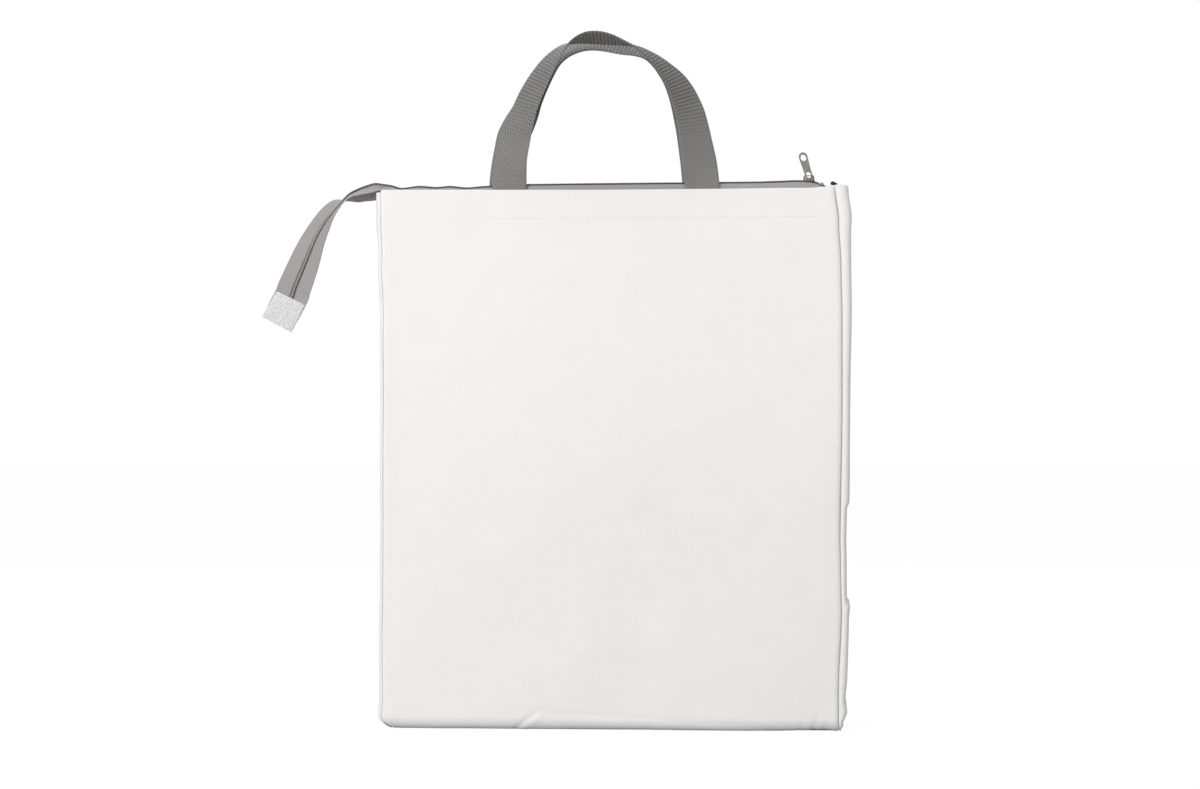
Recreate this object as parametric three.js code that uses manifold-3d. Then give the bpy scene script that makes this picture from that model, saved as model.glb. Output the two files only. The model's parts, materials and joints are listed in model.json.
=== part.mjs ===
// Insulated shopping bag with a zip mouth, two webbing handles and a zip tail with a cloth end tab.
// Millimetres, +Z up, the front faces -Y, and the origin is the middle of the underside.
import * as THREE from "three";
import { mergeVertices } from "three/addons/utils/BufferGeometryUtils.js";
import Module from "manifold-3d";

const wasm = await Module();
wasm.setup();

// Bag body
const BAG_WIDTH = 330;
const BAG_DEPTH = 90;
const BAG_HEIGHT = 387;
const BASE_ROLL = 9;
const UPRIGHT_HEIGHT = 150;
const SEAM_GROOVE = 0.8;
const CREASE_RADIUS = 1;
const INNER_ROLL = 0.9;
const CORNER_TUCK = 3.1;
const CORNER_HEIGHT = 8;
const SIDE_TOP_DROP = 1;

// Wall plies and the clearance between pieces
const SHELL = 0.6;
const FOAM = 2;
const LINER = 0.4;
const GAP = 0.3;

// Hem stitches
const HEM = 21;
const STITCH_PITCH = 5.5;
const STITCH_WIDTH = 0.5;
const STITCH_HEIGHT = 0.3;
const THREAD_WIDTH = 0.25;
const STITCH_LIFT = 0.1;
const HEM_END_MARGIN = 5;

// Handles
const WEBBING_WIDTH = 25;
const WEBBING = 1.6;
const HANDLE_SPAN = 140;
const HANDLE_RISE = 109;
const HANDLE_SHIFT = -4.7;
const HANDLE_TOP_TURN = THREE.MathUtils.degToRad(104);
const HANDLE_CENTRE_GAP = 2.5;
const STRAP_END_LENGTH = 42;

// Zip
const TAPE = 0.6;
const TAPE_FLANGE = 10;
const RIDGE_RISE = 4.5;
const COIL_WIDTH = 1.4;
const COIL_HEIGHT = 1.4;
const COIL_SLIT = 1.2;
const COIL_TAPE_RUN = 1.3;
const COIL_GROOVE = 0.35;
const COIL_PITCH = 11;
const ZIP_END_SETBACK = 7;
const ZIP_WIDTH = 24.6;

// Slider and puller
const SLIDER_SETBACK = 16;
const SLIDER_LENGTH = 8.2;
const SLIDER_WIDTH = 6.4;
const SLIDER_PLATE = 1;
const SLIDER_KEEL_WIDTH = 4.4;
const SLIDER_POST = 0.6;
const SLIDER_POST_LENGTH = 3;
const SLIDER_NOSE_SHARE = 0.72;
const BAIL_WIRE = 0.6;
const BAIL_HALF_LENGTH = 3.2;
const BAIL_RISE = 3.2;
const PULLER_LENGTH = 17.6;
const PULLER_TOP_WIDTH = 6.8;
const PULLER_THICKNESS = 0.7;
const PULLER_EYE_LENGTH = 4.6;
const PULLER_EYE_WIDTH = 4.2;
const PULLER_EYE_RIM = 1.2;
const PULLER_NECK_LENGTH = 5;
const PULLER_HOLE = 4.9;
const PULLER_HOLE_RIM = 1.6;
const PULLER_LEAN = THREE.MathUtils.degToRad(17);
const PULLER_TWIST = THREE.MathUtils.degToRad(62);
const STOP_SETBACK = 8;
const STOP_LENGTH = 2.5;
const STOP_WALL = 0.4;

// Zip tail
const TAIL_REACH = 77;
const TAIL_DROP = 101;
const TAIL_START_GAP = 2.5;
const TAIL_FORWARD = 6;
const TAIL_TURN = THREE.MathUtils.degToRad(35);
const TAIL_NECK = 6;
const TAIL_NECK_SHARE = 0.35;
const TAIL_TIP_SHARE = 0.2;
const TAB_LENGTH = 22;
const TAB_PLY = 0.7;
const TAB_HOLD_SHARE = 0.55;

// Worked out from the sizes above
const WALL = SHELL + FOAM + LINER + 2 * GAP;
const COIL_OUT = COIL_SLIT / 2 + COIL_WIDTH;
const ZIP_STACK = COIL_OUT + COIL_TAPE_RUN + TAPE + GAP + WEBBING + GAP + WALL + GAP;
const CLOSED_HALF = Math.max(ZIP_STACK, 2 * (WALL + INNER_ROLL) + CREASE_RADIUS);
const SIDE_ROLL = (CLOSED_HALF - CREASE_RADIUS) / 2;
const SEAM_X = BAG_WIDTH / 2 + SEAM_GROOVE;
const RIDGE_Z = BAG_HEIGHT + RIDGE_RISE;
const STRAP_Y = CLOSED_HALF - WALL - GAP - WEBBING / 2;

const finish = (color, roughness, metalness = 0) =>
  new THREE.MeshStandardMaterial({ color, roughness, metalness });
const CLOTH = finish(0xeeeeec, 0.85);
const FOAM_WHITE = finish(0xf4f4f0, 0.95);
const FOIL = finish(0xc9ccd0, 0.3, 0.8);
const WEBBING_GREY = finish(0x8a8887, 0.9);
const TAPE_GREY = finish(0xa9a6a6, 0.85);
const COIL_GREY = finish(0x737171, 0.5);
const METAL = finish(0xa09e9c, 0.35, 1);
const THREAD = finish(0xe6e6e3, 0.8);

const bag = new THREE.Group();

function addPiece(name, geometry, material) {
  const mesh = new THREE.Mesh(geometry, material);
  mesh.name = name;
  bag.add(mesh);
  return mesh;
}

// A closed body from points and triangles, turned so that its faces point out.
function closedBody(points, triangles) {
  const volume = triangles.reduce((sum, [a, b, c]) => {
    const cross = new THREE.Vector3().crossVectors(points[b], points[c]);
    return sum + points[a].dot(cross);
  }, 0);
  const facing = volume < 0 ? triangles.map(([a, b, c]) => [a, c, b]) : triangles;
  const geometry = new THREE.BufferGeometry().setFromPoints(points);
  geometry.setIndex(facing.flat());
  geometry.computeVertexNormals();
  return geometry;
}

// A ply between two grids of points, closed round its four edges.
function plyBetween(outer, inner) {
  const rows = outer.length;
  const columns = outer[0].length;
  const points = [...outer.flat(), ...inner.flat()];
  const triangles = [];
  const at = (side, row, column) => (side * rows + row) * columns + column;
  const quad = (a, b, c, d) => triangles.push([a, b, c], [a, c, d]);
  for (let i = 0; i < rows - 1; i += 1) {
    for (let j = 0; j < columns - 1; j += 1) {
      quad(at(0, i, j), at(0, i, j + 1), at(0, i + 1, j + 1), at(0, i + 1, j));
      quad(at(1, i, j), at(1, i + 1, j), at(1, i + 1, j + 1), at(1, i, j + 1));
    }
  }
  for (let j = 0; j < columns - 1; j += 1) {
    quad(at(0, 0, j), at(1, 0, j), at(1, 0, j + 1), at(0, 0, j + 1));
    quad(at(0, rows - 1, j + 1), at(1, rows - 1, j + 1), at(1, rows - 1, j), at(0, rows - 1, j));
  }
  for (let i = 0; i < rows - 1; i += 1) {
    quad(at(0, i + 1, 0), at(1, i + 1, 0), at(1, i, 0), at(0, i, 0));
    quad(at(0, i, columns - 1), at(1, i, columns - 1), at(1, i + 1, columns - 1), at(0, i + 1, columns - 1));
  }
  return closedBody(points, triangles);
}

// A run of rings, each with the same number of points, closed at both ends by fans.
function skinRings(rings) {
  const count = rings[0].length;
  const points = rings.flat();
  const triangles = [];
  for (let i = 0; i < rings.length - 1; i += 1) {
    for (let j = 0; j < count; j += 1) {
      const next = (j + 1) % count;
      const a = i * count + j;
      const b = i * count + next;
      triangles.push([a, b, b + count], [a, b + count, a + count]);
    }
  }
  const last = (rings.length - 1) * count;
  for (let j = 1; j < count - 1; j += 1) {
    triangles.push([0, j + 1, j], [last, last + j, last + j + 1]);
  }
  return closedBody(points, triangles);
}

// An outline in (y, z) carried along X.
function slabAlongX(outline, fromX, toX) {
  const shape = new THREE.Shape(outline.map(([y, z]) => new THREE.Vector2(y, z)));
  const geometry = new THREE.ExtrudeGeometry(shape, { depth: toX - fromX, bevelEnabled: false });
  geometry.applyMatrix4(new THREE.Matrix4().set(0, 0, 1, fromX, 1, 0, 0, 0, 0, 1, 0, 0, 0, 0, 0, 1));
  return geometry;
}

// Booleans
function toSolid(geometry) {
  const bare = geometry.index ? geometry.toNonIndexed() : geometry.clone();
  bare.deleteAttribute("normal");
  if (bare.getAttribute("uv")) {
    bare.deleteAttribute("uv");
  }
  const merged = mergeVertices(bare);
  return new wasm.Manifold(
    new wasm.Mesh({
      numProp: 3,
      vertProperties: merged.attributes.position.array,
      triVerts: new Uint32Array(merged.index.array),
    }),
  );
}

function toGeometry(solid) {
  const mesh = solid.getMesh();
  const geometry = new THREE.BufferGeometry();
  geometry.setAttribute("position", new THREE.BufferAttribute(mesh.vertProperties, mesh.numProp));
  geometry.setIndex(new THREE.BufferAttribute(mesh.triVerts, 1));
  geometry.computeVertexNormals();
  return geometry;
}

function cut(base, ...tools) {
  return toGeometry(tools.reduce((solid, tool) => solid.subtract(toSolid(tool)), toSolid(base)));
}

function joined(...parts) {
  return toGeometry(parts.map(toSolid).reduce((a, b) => a.add(b)));
}

function boxBetween(low, high) {
  const size = new THREE.Vector3().subVectors(high, low);
  const middle = new THREE.Vector3().addVectors(low, high).multiplyScalar(0.5);
  return new THREE.BoxGeometry(size.x, size.y, size.z).translate(middle.x, middle.y, middle.z);
}

// Side profile of the bag: the half depth of the outer face at each height.
function halfDepthAt(z) {
  if (z < BASE_ROLL) {
    return BAG_DEPTH / 2 - BASE_ROLL + Math.sqrt(BASE_ROLL ** 2 - (BASE_ROLL - z) ** 2);
  }
  if (z < UPRIGHT_HEIGHT) {
    return BAG_DEPTH / 2;
  }
  const leanShare = (z - UPRIGHT_HEIGHT) / (BAG_HEIGHT - UPRIGHT_HEIGHT);
  return BAG_DEPTH / 2 + (CLOSED_HALF - BAG_DEPTH / 2) * leanShare ** 2;
}

const rollShares = [0, 1 / 3, 2 / 3];
const leanShares = [0, 0.05, 0.12, 0.22, 0.34, 0.48, 0.64, 0.82, 1];
const ROLL_HEIGHTS = rollShares.map((share) => BASE_ROLL * (1 - Math.cos((share * Math.PI) / 2)));
const LEAN_HEIGHTS = leanShares.map((share) => UPRIGHT_HEIGHT + (BAG_HEIGHT - UPRIGHT_HEIGHT) * share);
const HEIGHTS = [...ROLL_HEIGHTS, BASE_ROLL, UPRIGHT_HEIGHT / 2, ...LEAN_HEIGHTS];

// The profile line of the front panel at a depth inside its outer face, from under the base to the lip.
function profileLine(inset, fromZ = 0, toZ = BAG_HEIGHT) {
  const heights = HEIGHTS.filter((z) => z > fromZ && z < toZ);
  const outer = [fromZ, ...heights, toZ].map((z) => [-halfDepthAt(z), z]);
  if (fromZ === 0) {
    outer.unshift([-(BAG_DEPTH / 2 - BASE_ROLL) + WALL, 0]);
  }
  return outer.map((point, i) => {
    const before = outer[Math.max(i - 1, 0)];
    const after = outer[Math.min(i + 1, outer.length - 1)];
    const normals = [
      [before, point],
      [point, after],
    ]
      .filter(([a, b]) => a !== b)
      .map(([a, b]) => {
        const length = Math.hypot(b[0] - a[0], b[1] - a[1]);
        return [(b[1] - a[1]) / length, -(b[0] - a[0]) / length];
      });
    const sum = [normals[0][0] + normals.at(-1)[0], normals[0][1] + normals.at(-1)[1]];
    const size = Math.hypot(...sum);
    const mitre = inset / (size / 2);
    return [point[0] + (sum[0] / size) * mitre, point[1] + (sum[1] / size) * mitre];
  });
}

function panelOutline(inset, thickness, fromZ, toZ) {
  return [...profileLine(inset, fromZ, toZ), ...profileLine(inset + thickness, fromZ, toZ).reverse()];
}

const mirroredY = (outline) => outline.map(([y, z]) => [-y, z]);

// Front, back and base, each in three plies
const plies = [
  { ply: "outer", inset: 0, thickness: SHELL, material: CLOTH, endX: BAG_WIDTH / 2 },
  { ply: "foam", inset: SHELL + GAP, thickness: FOAM, material: FOAM_WHITE, endX: BAG_WIDTH / 2 - GAP },
  { ply: "liner", inset: SHELL + FOAM + 2 * GAP, thickness: LINER, material: FOIL, endX: BAG_WIDTH / 2 - GAP },
];
for (const { ply, inset, thickness, material, endX } of plies) {
  const outline = panelOutline(inset, thickness);
  addPiece(`${ply}_front_panel`, slabAlongX(outline, -endX, endX), material);
  addPiece(`${ply}_back_panel`, slabAlongX(mirroredY(outline), -endX, endX), material);
  const baseY = BAG_DEPTH / 2 - BASE_ROLL - WALL - GAP;
  const low = new THREE.Vector3(-endX, -baseY, inset);
  const high = new THREE.Vector3(endX, baseY, inset + thickness);
  addPiece(`${ply}_base_panel`, boxBetween(low, high), material);
}

// How far the roll of the side stands out beyond the seam, tucked in at the bottom corners.
function sideRollAt(z) {
  const tuckShare = Math.max(0, 1 - z / CORNER_HEIGHT);
  return SIDE_ROLL - CORNER_TUCK * tuckShare ** 2;
}

// Half of a side's cross-section turns round the roll, runs straight and turns into the middle crease.
function sideTurn(halfDepth, foldDepth) {
  const alongX = -foldDepth;
  const alongY = halfDepth - SIDE_ROLL;
  const reach = Math.hypot(alongX, alongY);
  const near = Math.min(1, (SIDE_ROLL + CREASE_RADIUS) / reach);
  return {
    turn: Math.atan2(alongY, alongX) - Math.acos(near),
    straight: Math.sqrt(Math.max(0, reach ** 2 - (SIDE_ROLL + CREASE_RADIUS) ** 2)),
  };
}

function halfSideLength(halfDepth, foldDepth) {
  const { turn, straight } = sideTurn(halfDepth, foldDepth);
  return SIDE_ROLL * (Math.PI / 2 + turn) + straight + CREASE_RADIUS * turn;
}

const FLAT_FOLD = -(SIDE_ROLL + CREASE_RADIUS);
const HALF_SIDE = halfSideLength(BAG_DEPTH / 2, FLAT_FOLD);

// The cloth keeps its length, so the closer the lips, the deeper the side folds in.
function foldDepthAt(z) {
  if (z <= UPRIGHT_HEIGHT) {
    return FLAT_FOLD;
  }
  const halfDepth = halfDepthAt(z);
  let low = FLAT_FOLD;
  let high = HALF_SIDE;
  const halvings = 40;
  for (let i = 0; i < halvings; i += 1) {
    const middle = (low + high) / 2;
    if (halfSideLength(halfDepth, middle) < HALF_SIDE) {
      low = middle;
    } else {
      high = middle;
    }
  }
  return (low + high) / 2;
}

const ROLL_STEPS = 3;
const CREASE_STEPS = 2;

// The right side's section at a height and a depth inside its outer face, from the front seam to the back one.
function sideSection(z, inset, fromSeam) {
  const halfDepth = halfDepthAt(z);
  const foldDepth = foldDepthAt(z);
  const { turn } = sideTurn(halfDepth, foldDepth);
  const rollX = sideRollAt(z) - inset;
  const rollY = SIDE_ROLL - inset;
  const frontArc = (angle) => [SEAM_X + rollX * Math.cos(angle), -halfDepth + SIDE_ROLL + rollY * Math.sin(angle)];
  const half = [];
  if (fromSeam) {
    for (let i = 0; i < ROLL_STEPS; i += 1) {
      half.push(frontArc((-Math.PI / 2) * (1 - i / ROLL_STEPS)));
    }
  }
  for (let i = 0; i <= ROLL_STEPS; i += 1) {
    half.push(frontArc((turn * i) / ROLL_STEPS));
  }
  const creaseRadius = CREASE_RADIUS + inset;
  const creaseX = SEAM_X - foldDepth + (sideRollAt(z) - SIDE_ROLL);
  for (let i = 0; i < CREASE_STEPS; i += 1) {
    const angle = turn * (1 - i / CREASE_STEPS);
    half.push([creaseX - creaseRadius * Math.cos(angle), -creaseRadius * Math.sin(angle)]);
  }
  const middle = [creaseX - creaseRadius, 0];
  const back = half.map(([x, y]) => [x, -y]).reverse();
  return [...half, middle, ...back];
}

// Two section points may meet where the side is flat, so each keeps a small way behind the one before.
const LEAST_STEP = 0.15;
function spacedSection(section) {
  const middle = (section.length - 1) / 2;
  const half = section.slice(0, middle);
  const sides = half.map(([x, y], i) => [x, Math.min(y, -(middle - i) * LEAST_STEP)]);
  for (let i = 1; i < sides.length; i += 1) {
    const [x, y] = sides[i];
    const [beforeX, beforeY] = sides[i - 1];
    if (y < beforeY || Math.hypot(x - beforeX, y - beforeY) < LEAST_STEP) {
      sides[i] = [x, beforeY + LEAST_STEP];
    }
  }
  return [...sides, section[middle], ...sides.map(([x, y]) => [x, -y]).reverse()];
}

for (const { ply, inset, thickness, material } of plies) {
  const fromSeam = ply === "outer";
  const startZ = fromSeam ? 0 : WALL + GAP;
  const topZ = BAG_HEIGHT - SIDE_TOP_DROP;
  const heights = [startZ, ...HEIGHTS.filter((z) => z > startZ && z < topZ), topZ];
  const gridAt = (depth) =>
    heights.map((z) => {
      const section = spacedSection(sideSection(z, depth, fromSeam));
      return section.map(([x, y]) => new THREE.Vector3(x, y, z));
    });
  const outer = gridAt(inset);
  const inner = gridAt(inset + thickness);
  const toLeft = (grid) => grid.map((row) => row.map((p) => new THREE.Vector3(-p.x, p.y, p.z)));
  addPiece(`${ply}_right_side`, plyBetween(outer, inner), material);
  addPiece(`${ply}_left_side`, plyBetween(toLeft(outer), toLeft(inner)), material);
}

// The thread along the hem of the front and back: a row of stitches, thin where one meets the next
function hemStitching(side) {
  const z = BAG_HEIGHT - HEM;
  const slope = Math.atan((halfDepthAt(z - HEM / 2) - halfDepthAt(z + HEM / 2)) / HEM);
  const count = Math.floor((BAG_WIDTH - 2 * HEM_END_MARGIN) / STITCH_PITCH);
  const firstX = (-count * STITCH_PITCH) / 2;
  const rings = Array.from({ length: 2 * count + 1 }, (_, i) => {
    const full = i % 2 === 1;
    const halfWidth = (full ? STITCH_WIDTH : THREAD_WIDTH) / 2;
    const near = side * STITCH_LIFT;
    const far = side * (STITCH_LIFT + (full ? STITCH_HEIGHT : THREAD_WIDTH));
    const x = firstX + (i * STITCH_PITCH) / 2;
    return [
      new THREE.Vector3(x, near, -halfWidth),
      new THREE.Vector3(x, far, -halfWidth),
      new THREE.Vector3(x, far, halfWidth),
      new THREE.Vector3(x, near, halfWidth),
    ];
  });
  return skinRings(rings).rotateX(side * slope).translate(0, side * halfDepthAt(z), z);
}
addPiece("hem_stitching_front", hemStitching(-1), THREAD);
addPiece("hem_stitching_back", hemStitching(1), THREAD);

// Webbing loops: shares of half the span, of the rise and of the turn at the top, from the left foot to the right
const frontArchShares = [
  [-1, 0, 0],
  [-0.996, 0.071, 0.03],
  [-0.991, 0.125, 0.08],
  [-0.98, 0.207, 0.13],
  [-0.957, 0.289, 0.15],
  [-0.929, 0.37, 0.17],
  [-0.881, 0.447, 0.29],
  [-0.836, 0.525, 0.36],
  [-0.787, 0.602, 0.39],
  [-0.73, 0.676, 0.42],
  [-0.666, 0.748, 0.46],
  [-0.596, 0.818, 0.52],
  [-0.514, 0.883, 0.6],
  [-0.421, 0.939, 0.71],
  [-0.306, 0.977, 0.86],
  [-0.181, 0.996, 0.975],
  [-0.053, 0.996, 1],
  [0.074, 0.983, 0.96],
  [0.2, 0.962, 0.87],
  [0.323, 0.935, 0.79],
  [0.433, 0.894, 0.73],
  [0.537, 0.844, 0.67],
  [0.629, 0.785, 0.59],
  [0.713, 0.722, 0.5],
  [0.78, 0.652, 0.43],
  [0.833, 0.576, 0.37],
  [0.876, 0.498, 0.32],
  [0.906, 0.417, 0.28],
  [0.93, 0.336, 0.24],
  [0.953, 0.254, 0.19],
  [0.974, 0.173, 0.12],
  [0.991, 0.08, 0.04],
  [1, 0, 0],
];
const backArchShares = [
  [-1.051, 0, 0],
  [-1.047, 0.07, 0.03],
  [-1.043, 0.124, 0.08],
  [-1.031, 0.205, 0.13],
  [-1.009, 0.286, 0.15],
  [-0.98, 0.366, 0.14],
  [-0.924, 0.443, 0.17],
  [-0.867, 0.52, 0.25],
  [-0.819, 0.596, 0.33],
  [-0.761, 0.67, 0.4],
  [-0.697, 0.741, 0.46],
  [-0.627, 0.811, 0.52],
  [-0.546, 0.874, 0.596],
  [-0.453, 0.93, 0.596],
  [-0.337, 0.968, 0.596],
  [-0.213, 0.987, 0.596],
  [-0.084, 0.987, 0.596],
  [0.043, 0.974, 0.596],
  [0.171, 0.958, 0.596],
  [0.299, 0.937, 0.66],
  [0.418, 0.902, 0.72],
  [0.527, 0.852, 0.67],
  [0.619, 0.791, 0.59],
  [0.701, 0.725, 0.5],
  [0.762, 0.651, 0.43],
  [0.808, 0.573, 0.37],
  [0.844, 0.494, 0.32],
  [0.874, 0.414, 0.28],
  [0.899, 0.333, 0.24],
  [0.921, 0.252, 0.19],
  [0.943, 0.172, 0.12],
  [0.96, 0.079, 0.04],
  [0.969, 0, 0],
];
const ARCH_STEPS = 64;

// A flat band carried through stations that each give its middle, its direction across and its direction through,
// and, where it is thinner than the rest, what share of the thickness it has there.
function band(stations, width, thickness) {
  const corners = [
    [-1, -1],
    [1, -1],
    [1, 1],
    [-1, 1],
  ];
  const rings = stations.map(({ middle, across, through, thinShare = 1 }) =>
    corners.map(([a, b]) =>
      middle
        .clone()
        .addScaledVector(across, (a * width) / 2)
        .addScaledVector(through, (b * thinShare * thickness) / 2),
    ),
  );
  return skinRings(rings);
}

// A value of a table of equally spaced entries at a share of its length.
function tableAt(values, share) {
  const place = share * (values.length - 1);
  const i = Math.min(Math.floor(place), values.length - 2);
  return values[i] + (values[i + 1] - values[i]) * (place - i);
}

// A loop stands on its strap ends. Its outer edge turns back on the way up, as far as its table says.
const handleX = (xShare) => HANDLE_SHIFT + (xShare * HANDLE_SPAN) / 2;

function handleLoop(side, shares) {
  const footZ = BAG_HEIGHT + GAP;
  const points = shares.map(([xShare, zShare]) => {
    return new THREE.Vector3(handleX(xShare), 0, footZ + HANDLE_RISE * zShare);
  });
  const path = new THREE.CatmullRomCurve3(points, false, "centripetal");
  const turnShares = shares.map((row) => row[2]);
  const topY = HANDLE_CENTRE_GAP / 2 + (WEBBING_WIDTH / 2) * Math.sin(HANDLE_TOP_TURN) + WEBBING / 2;
  const backwards = new THREE.Vector3(0, 1, 0);
  const stations = Array.from({ length: ARCH_STEPS + 1 }, (_, i) => {
    const share = i / ARCH_STEPS;
    const middle = path.getPoint(share);
    const tangent = path.getTangent(share);
    if (i % ARCH_STEPS === 0) {
      tangent.set(0, 0, Math.sign(tangent.z));
    }
    const turn = HANDLE_TOP_TURN * tableAt(turnShares, share);
    middle.y = side * (STRAP_Y + ((topY - STRAP_Y) * Math.sin(turn)) / Math.sin(HANDLE_TOP_TURN));
    const outward = new THREE.Vector3(-tangent.z, 0, tangent.x);
    const across = outward.multiplyScalar(Math.cos(turn)).addScaledVector(backwards, Math.sin(turn));
    const through = new THREE.Vector3().crossVectors(tangent, across).normalize();
    return { middle, across, through };
  });
  return band(stations, WEBBING_WIDTH, WEBBING);
}
addPiece("front_handle", handleLoop(-1, frontArchShares), WEBBING_GREY);
addPiece("back_handle", handleLoop(1, backArchShares), WEBBING_GREY);

// Sewn strap ends between the liner and the zip tape
const strapOutline = panelOutline(WALL + GAP, WEBBING, BAG_HEIGHT - STRAP_END_LENGTH, BAG_HEIGHT);
const feet = [
  ["left", 0],
  ["right", -1],
];
for (const [foot, row] of feet) {
  const frontX = handleX(frontArchShares.at(row)[0]);
  const backX = handleX(backArchShares.at(row)[0]);
  const half = WEBBING_WIDTH / 2;
  const front = slabAlongX(strapOutline, frontX - half, frontX + half);
  const back = slabAlongX(mirroredY(strapOutline), backX - half, backX + half);
  addPiece(`front_strap_end_${foot}`, front, WEBBING_GREY);
  addPiece(`back_strap_end_${foot}`, back, WEBBING_GREY);
}

// Zip tapes: a flange down behind the strap ends, and a roof up to the coil
const TAPE_FLANGE_INSET = WALL + 2 * GAP + WEBBING;
const ZIP_LEFT = -BAG_WIDTH / 2;
const ZIP_RIGHT = BAG_WIDTH / 2 - ZIP_END_SETBACK;
const SLIDER_X = ZIP_RIGHT - SLIDER_SETBACK;
const STOP_X = ZIP_RIGHT - STOP_SETBACK;
const COIL_LOW = RIDGE_Z - COIL_HEIGHT / 2;
const COIL_HIGH = RIDGE_Z + COIL_HEIGHT / 2;
const TAPE_EDGE_Y = COIL_OUT + GAP;

function tapeOutline() {
  const lipSide = profileLine(TAPE_FLANGE_INSET, BAG_HEIGHT - TAPE_FLANGE, BAG_HEIGHT);
  const innerSide = profileLine(TAPE_FLANGE_INSET + TAPE, BAG_HEIGHT - TAPE_FLANGE, BAG_HEIGHT);
  const foot = lipSide.at(-1);
  const innerFoot = innerSide.at(-1);
  const bend = [foot[0], BAG_HEIGHT + GAP];
  const innerBend = [innerFoot[0], BAG_HEIGHT];
  const top = [-TAPE_EDGE_Y, COIL_HIGH];
  const innerTop = [-TAPE_EDGE_Y, COIL_LOW];
  return [...lipSide, bend, top, innerTop, innerBend, ...innerSide.reverse()];
}

// Where the sides fold in, the flange is trimmed away above them.
const SIDE_ZONE_X = SEAM_X - foldDepthAt(BAG_HEIGHT) - CREASE_RADIUS - WALL - 3 * GAP;
function trimmedTape(outline) {
  const tape = slabAlongX(outline, ZIP_LEFT, ZIP_RIGHT);
  const cutters = [-1, 1].map((end) => {
    const near = end * SIDE_ZONE_X;
    const far = (end * BAG_WIDTH) / 2 + end * SIDE_ROLL;
    const low = new THREE.Vector3(Math.min(near, far), -CLOSED_HALF, BAG_HEIGHT - 2 * TAPE_FLANGE);
    const high = new THREE.Vector3(Math.max(near, far), CLOSED_HALF, BAG_HEIGHT);
    return boxBetween(low, high);
  });
  return cut(tape, ...cutters);
}
addPiece("zip_tape_front", trimmedTape(tapeOutline()), TAPE_GREY);
addPiece("zip_tape_back", trimmedTape(mirroredY(tapeOutline())), TAPE_GREY);

// Coils: two strips with a slit between them, notched along their tops
function coilStrip(side) {
  const nearY = (side * COIL_SLIT) / 2;
  const farY = side * COIL_OUT;
  const low = new THREE.Vector3(ZIP_LEFT, Math.min(nearY, farY), COIL_LOW);
  const high = new THREE.Vector3(ZIP_RIGHT, Math.max(nearY, farY), COIL_HIGH);
  const count = Math.floor((ZIP_RIGHT - ZIP_LEFT) / COIL_PITCH) - 1;
  const notches = Array.from({ length: count }, (_, i) => {
    const x = ZIP_LEFT + (i + 1) * COIL_PITCH;
    const notchLow = new THREE.Vector3(x, -COIL_OUT - GAP, COIL_HIGH - COIL_GROOVE);
    const notchHigh = new THREE.Vector3(x + COIL_GROOVE, COIL_OUT + GAP, COIL_HIGH + GAP);
    return boxBetween(notchLow, notchHigh);
  });
  return cut(boxBetween(low, high), ...notches);
}
addPiece("zip_coil_front", coilStrip(-1), COIL_GREY);
addPiece("zip_coil_back", coilStrip(1), COIL_GREY);

// Right end stop: a metal clip over both coils with a keel in their slit
function endStop() {
  const inner = COIL_OUT + GAP / 2;
  const outer = inner + STOP_WALL;
  const lowZ = COIL_LOW;
  const highZ = COIL_HIGH + GAP;
  const shell = boxBetween(
    new THREE.Vector3(STOP_X, -outer, highZ),
    new THREE.Vector3(STOP_X + STOP_LENGTH, outer, highZ + STOP_WALL),
  );
  const keel = boxBetween(
    new THREE.Vector3(STOP_X, -COIL_SLIT / 4, lowZ),
    new THREE.Vector3(STOP_X + STOP_LENGTH, COIL_SLIT / 4, highZ + STOP_WALL / 2),
  );
  return joined(shell, keel);
}
addPiece("zip_end_stop", endStop(), METAL);

// Slider: a plate over the coils, a keel under them and a post in the slit between, with a bail on top
const PLATE_LOW = COIL_HIGH + GAP;
const PLATE_HIGH = PLATE_LOW + SLIDER_PLATE;
const KEEL_HIGH = COIL_LOW - GAP;
const BAIL_Z = PLATE_HIGH + BAIL_RISE;

function plateFrom(halfWidth, lowZ) {
  const nose = SLIDER_LENGTH / 2;
  const tail = -SLIDER_LENGTH / 2;
  const tailHalf = halfWidth * SLIDER_NOSE_SHARE;
  const corner = halfWidth * (1 - SLIDER_NOSE_SHARE);
  const outline = [
    [nose, -tailHalf],
    [nose, tailHalf],
    [nose - corner, halfWidth],
    [nose - 2 * corner, halfWidth],
    [tail + corner, tailHalf],
    [tail, tailHalf - corner],
    [tail, corner - tailHalf],
    [tail + corner, -tailHalf],
    [nose - 2 * corner, -halfWidth],
    [nose - corner, -halfWidth],
  ];
  const shape = new THREE.Shape(outline.map(([x, y]) => new THREE.Vector2(x, y)));
  const geometry = new THREE.ExtrudeGeometry(shape, { depth: SLIDER_PLATE, bevelEnabled: false });
  return geometry.translate(SLIDER_X, 0, lowZ);
}

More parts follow.
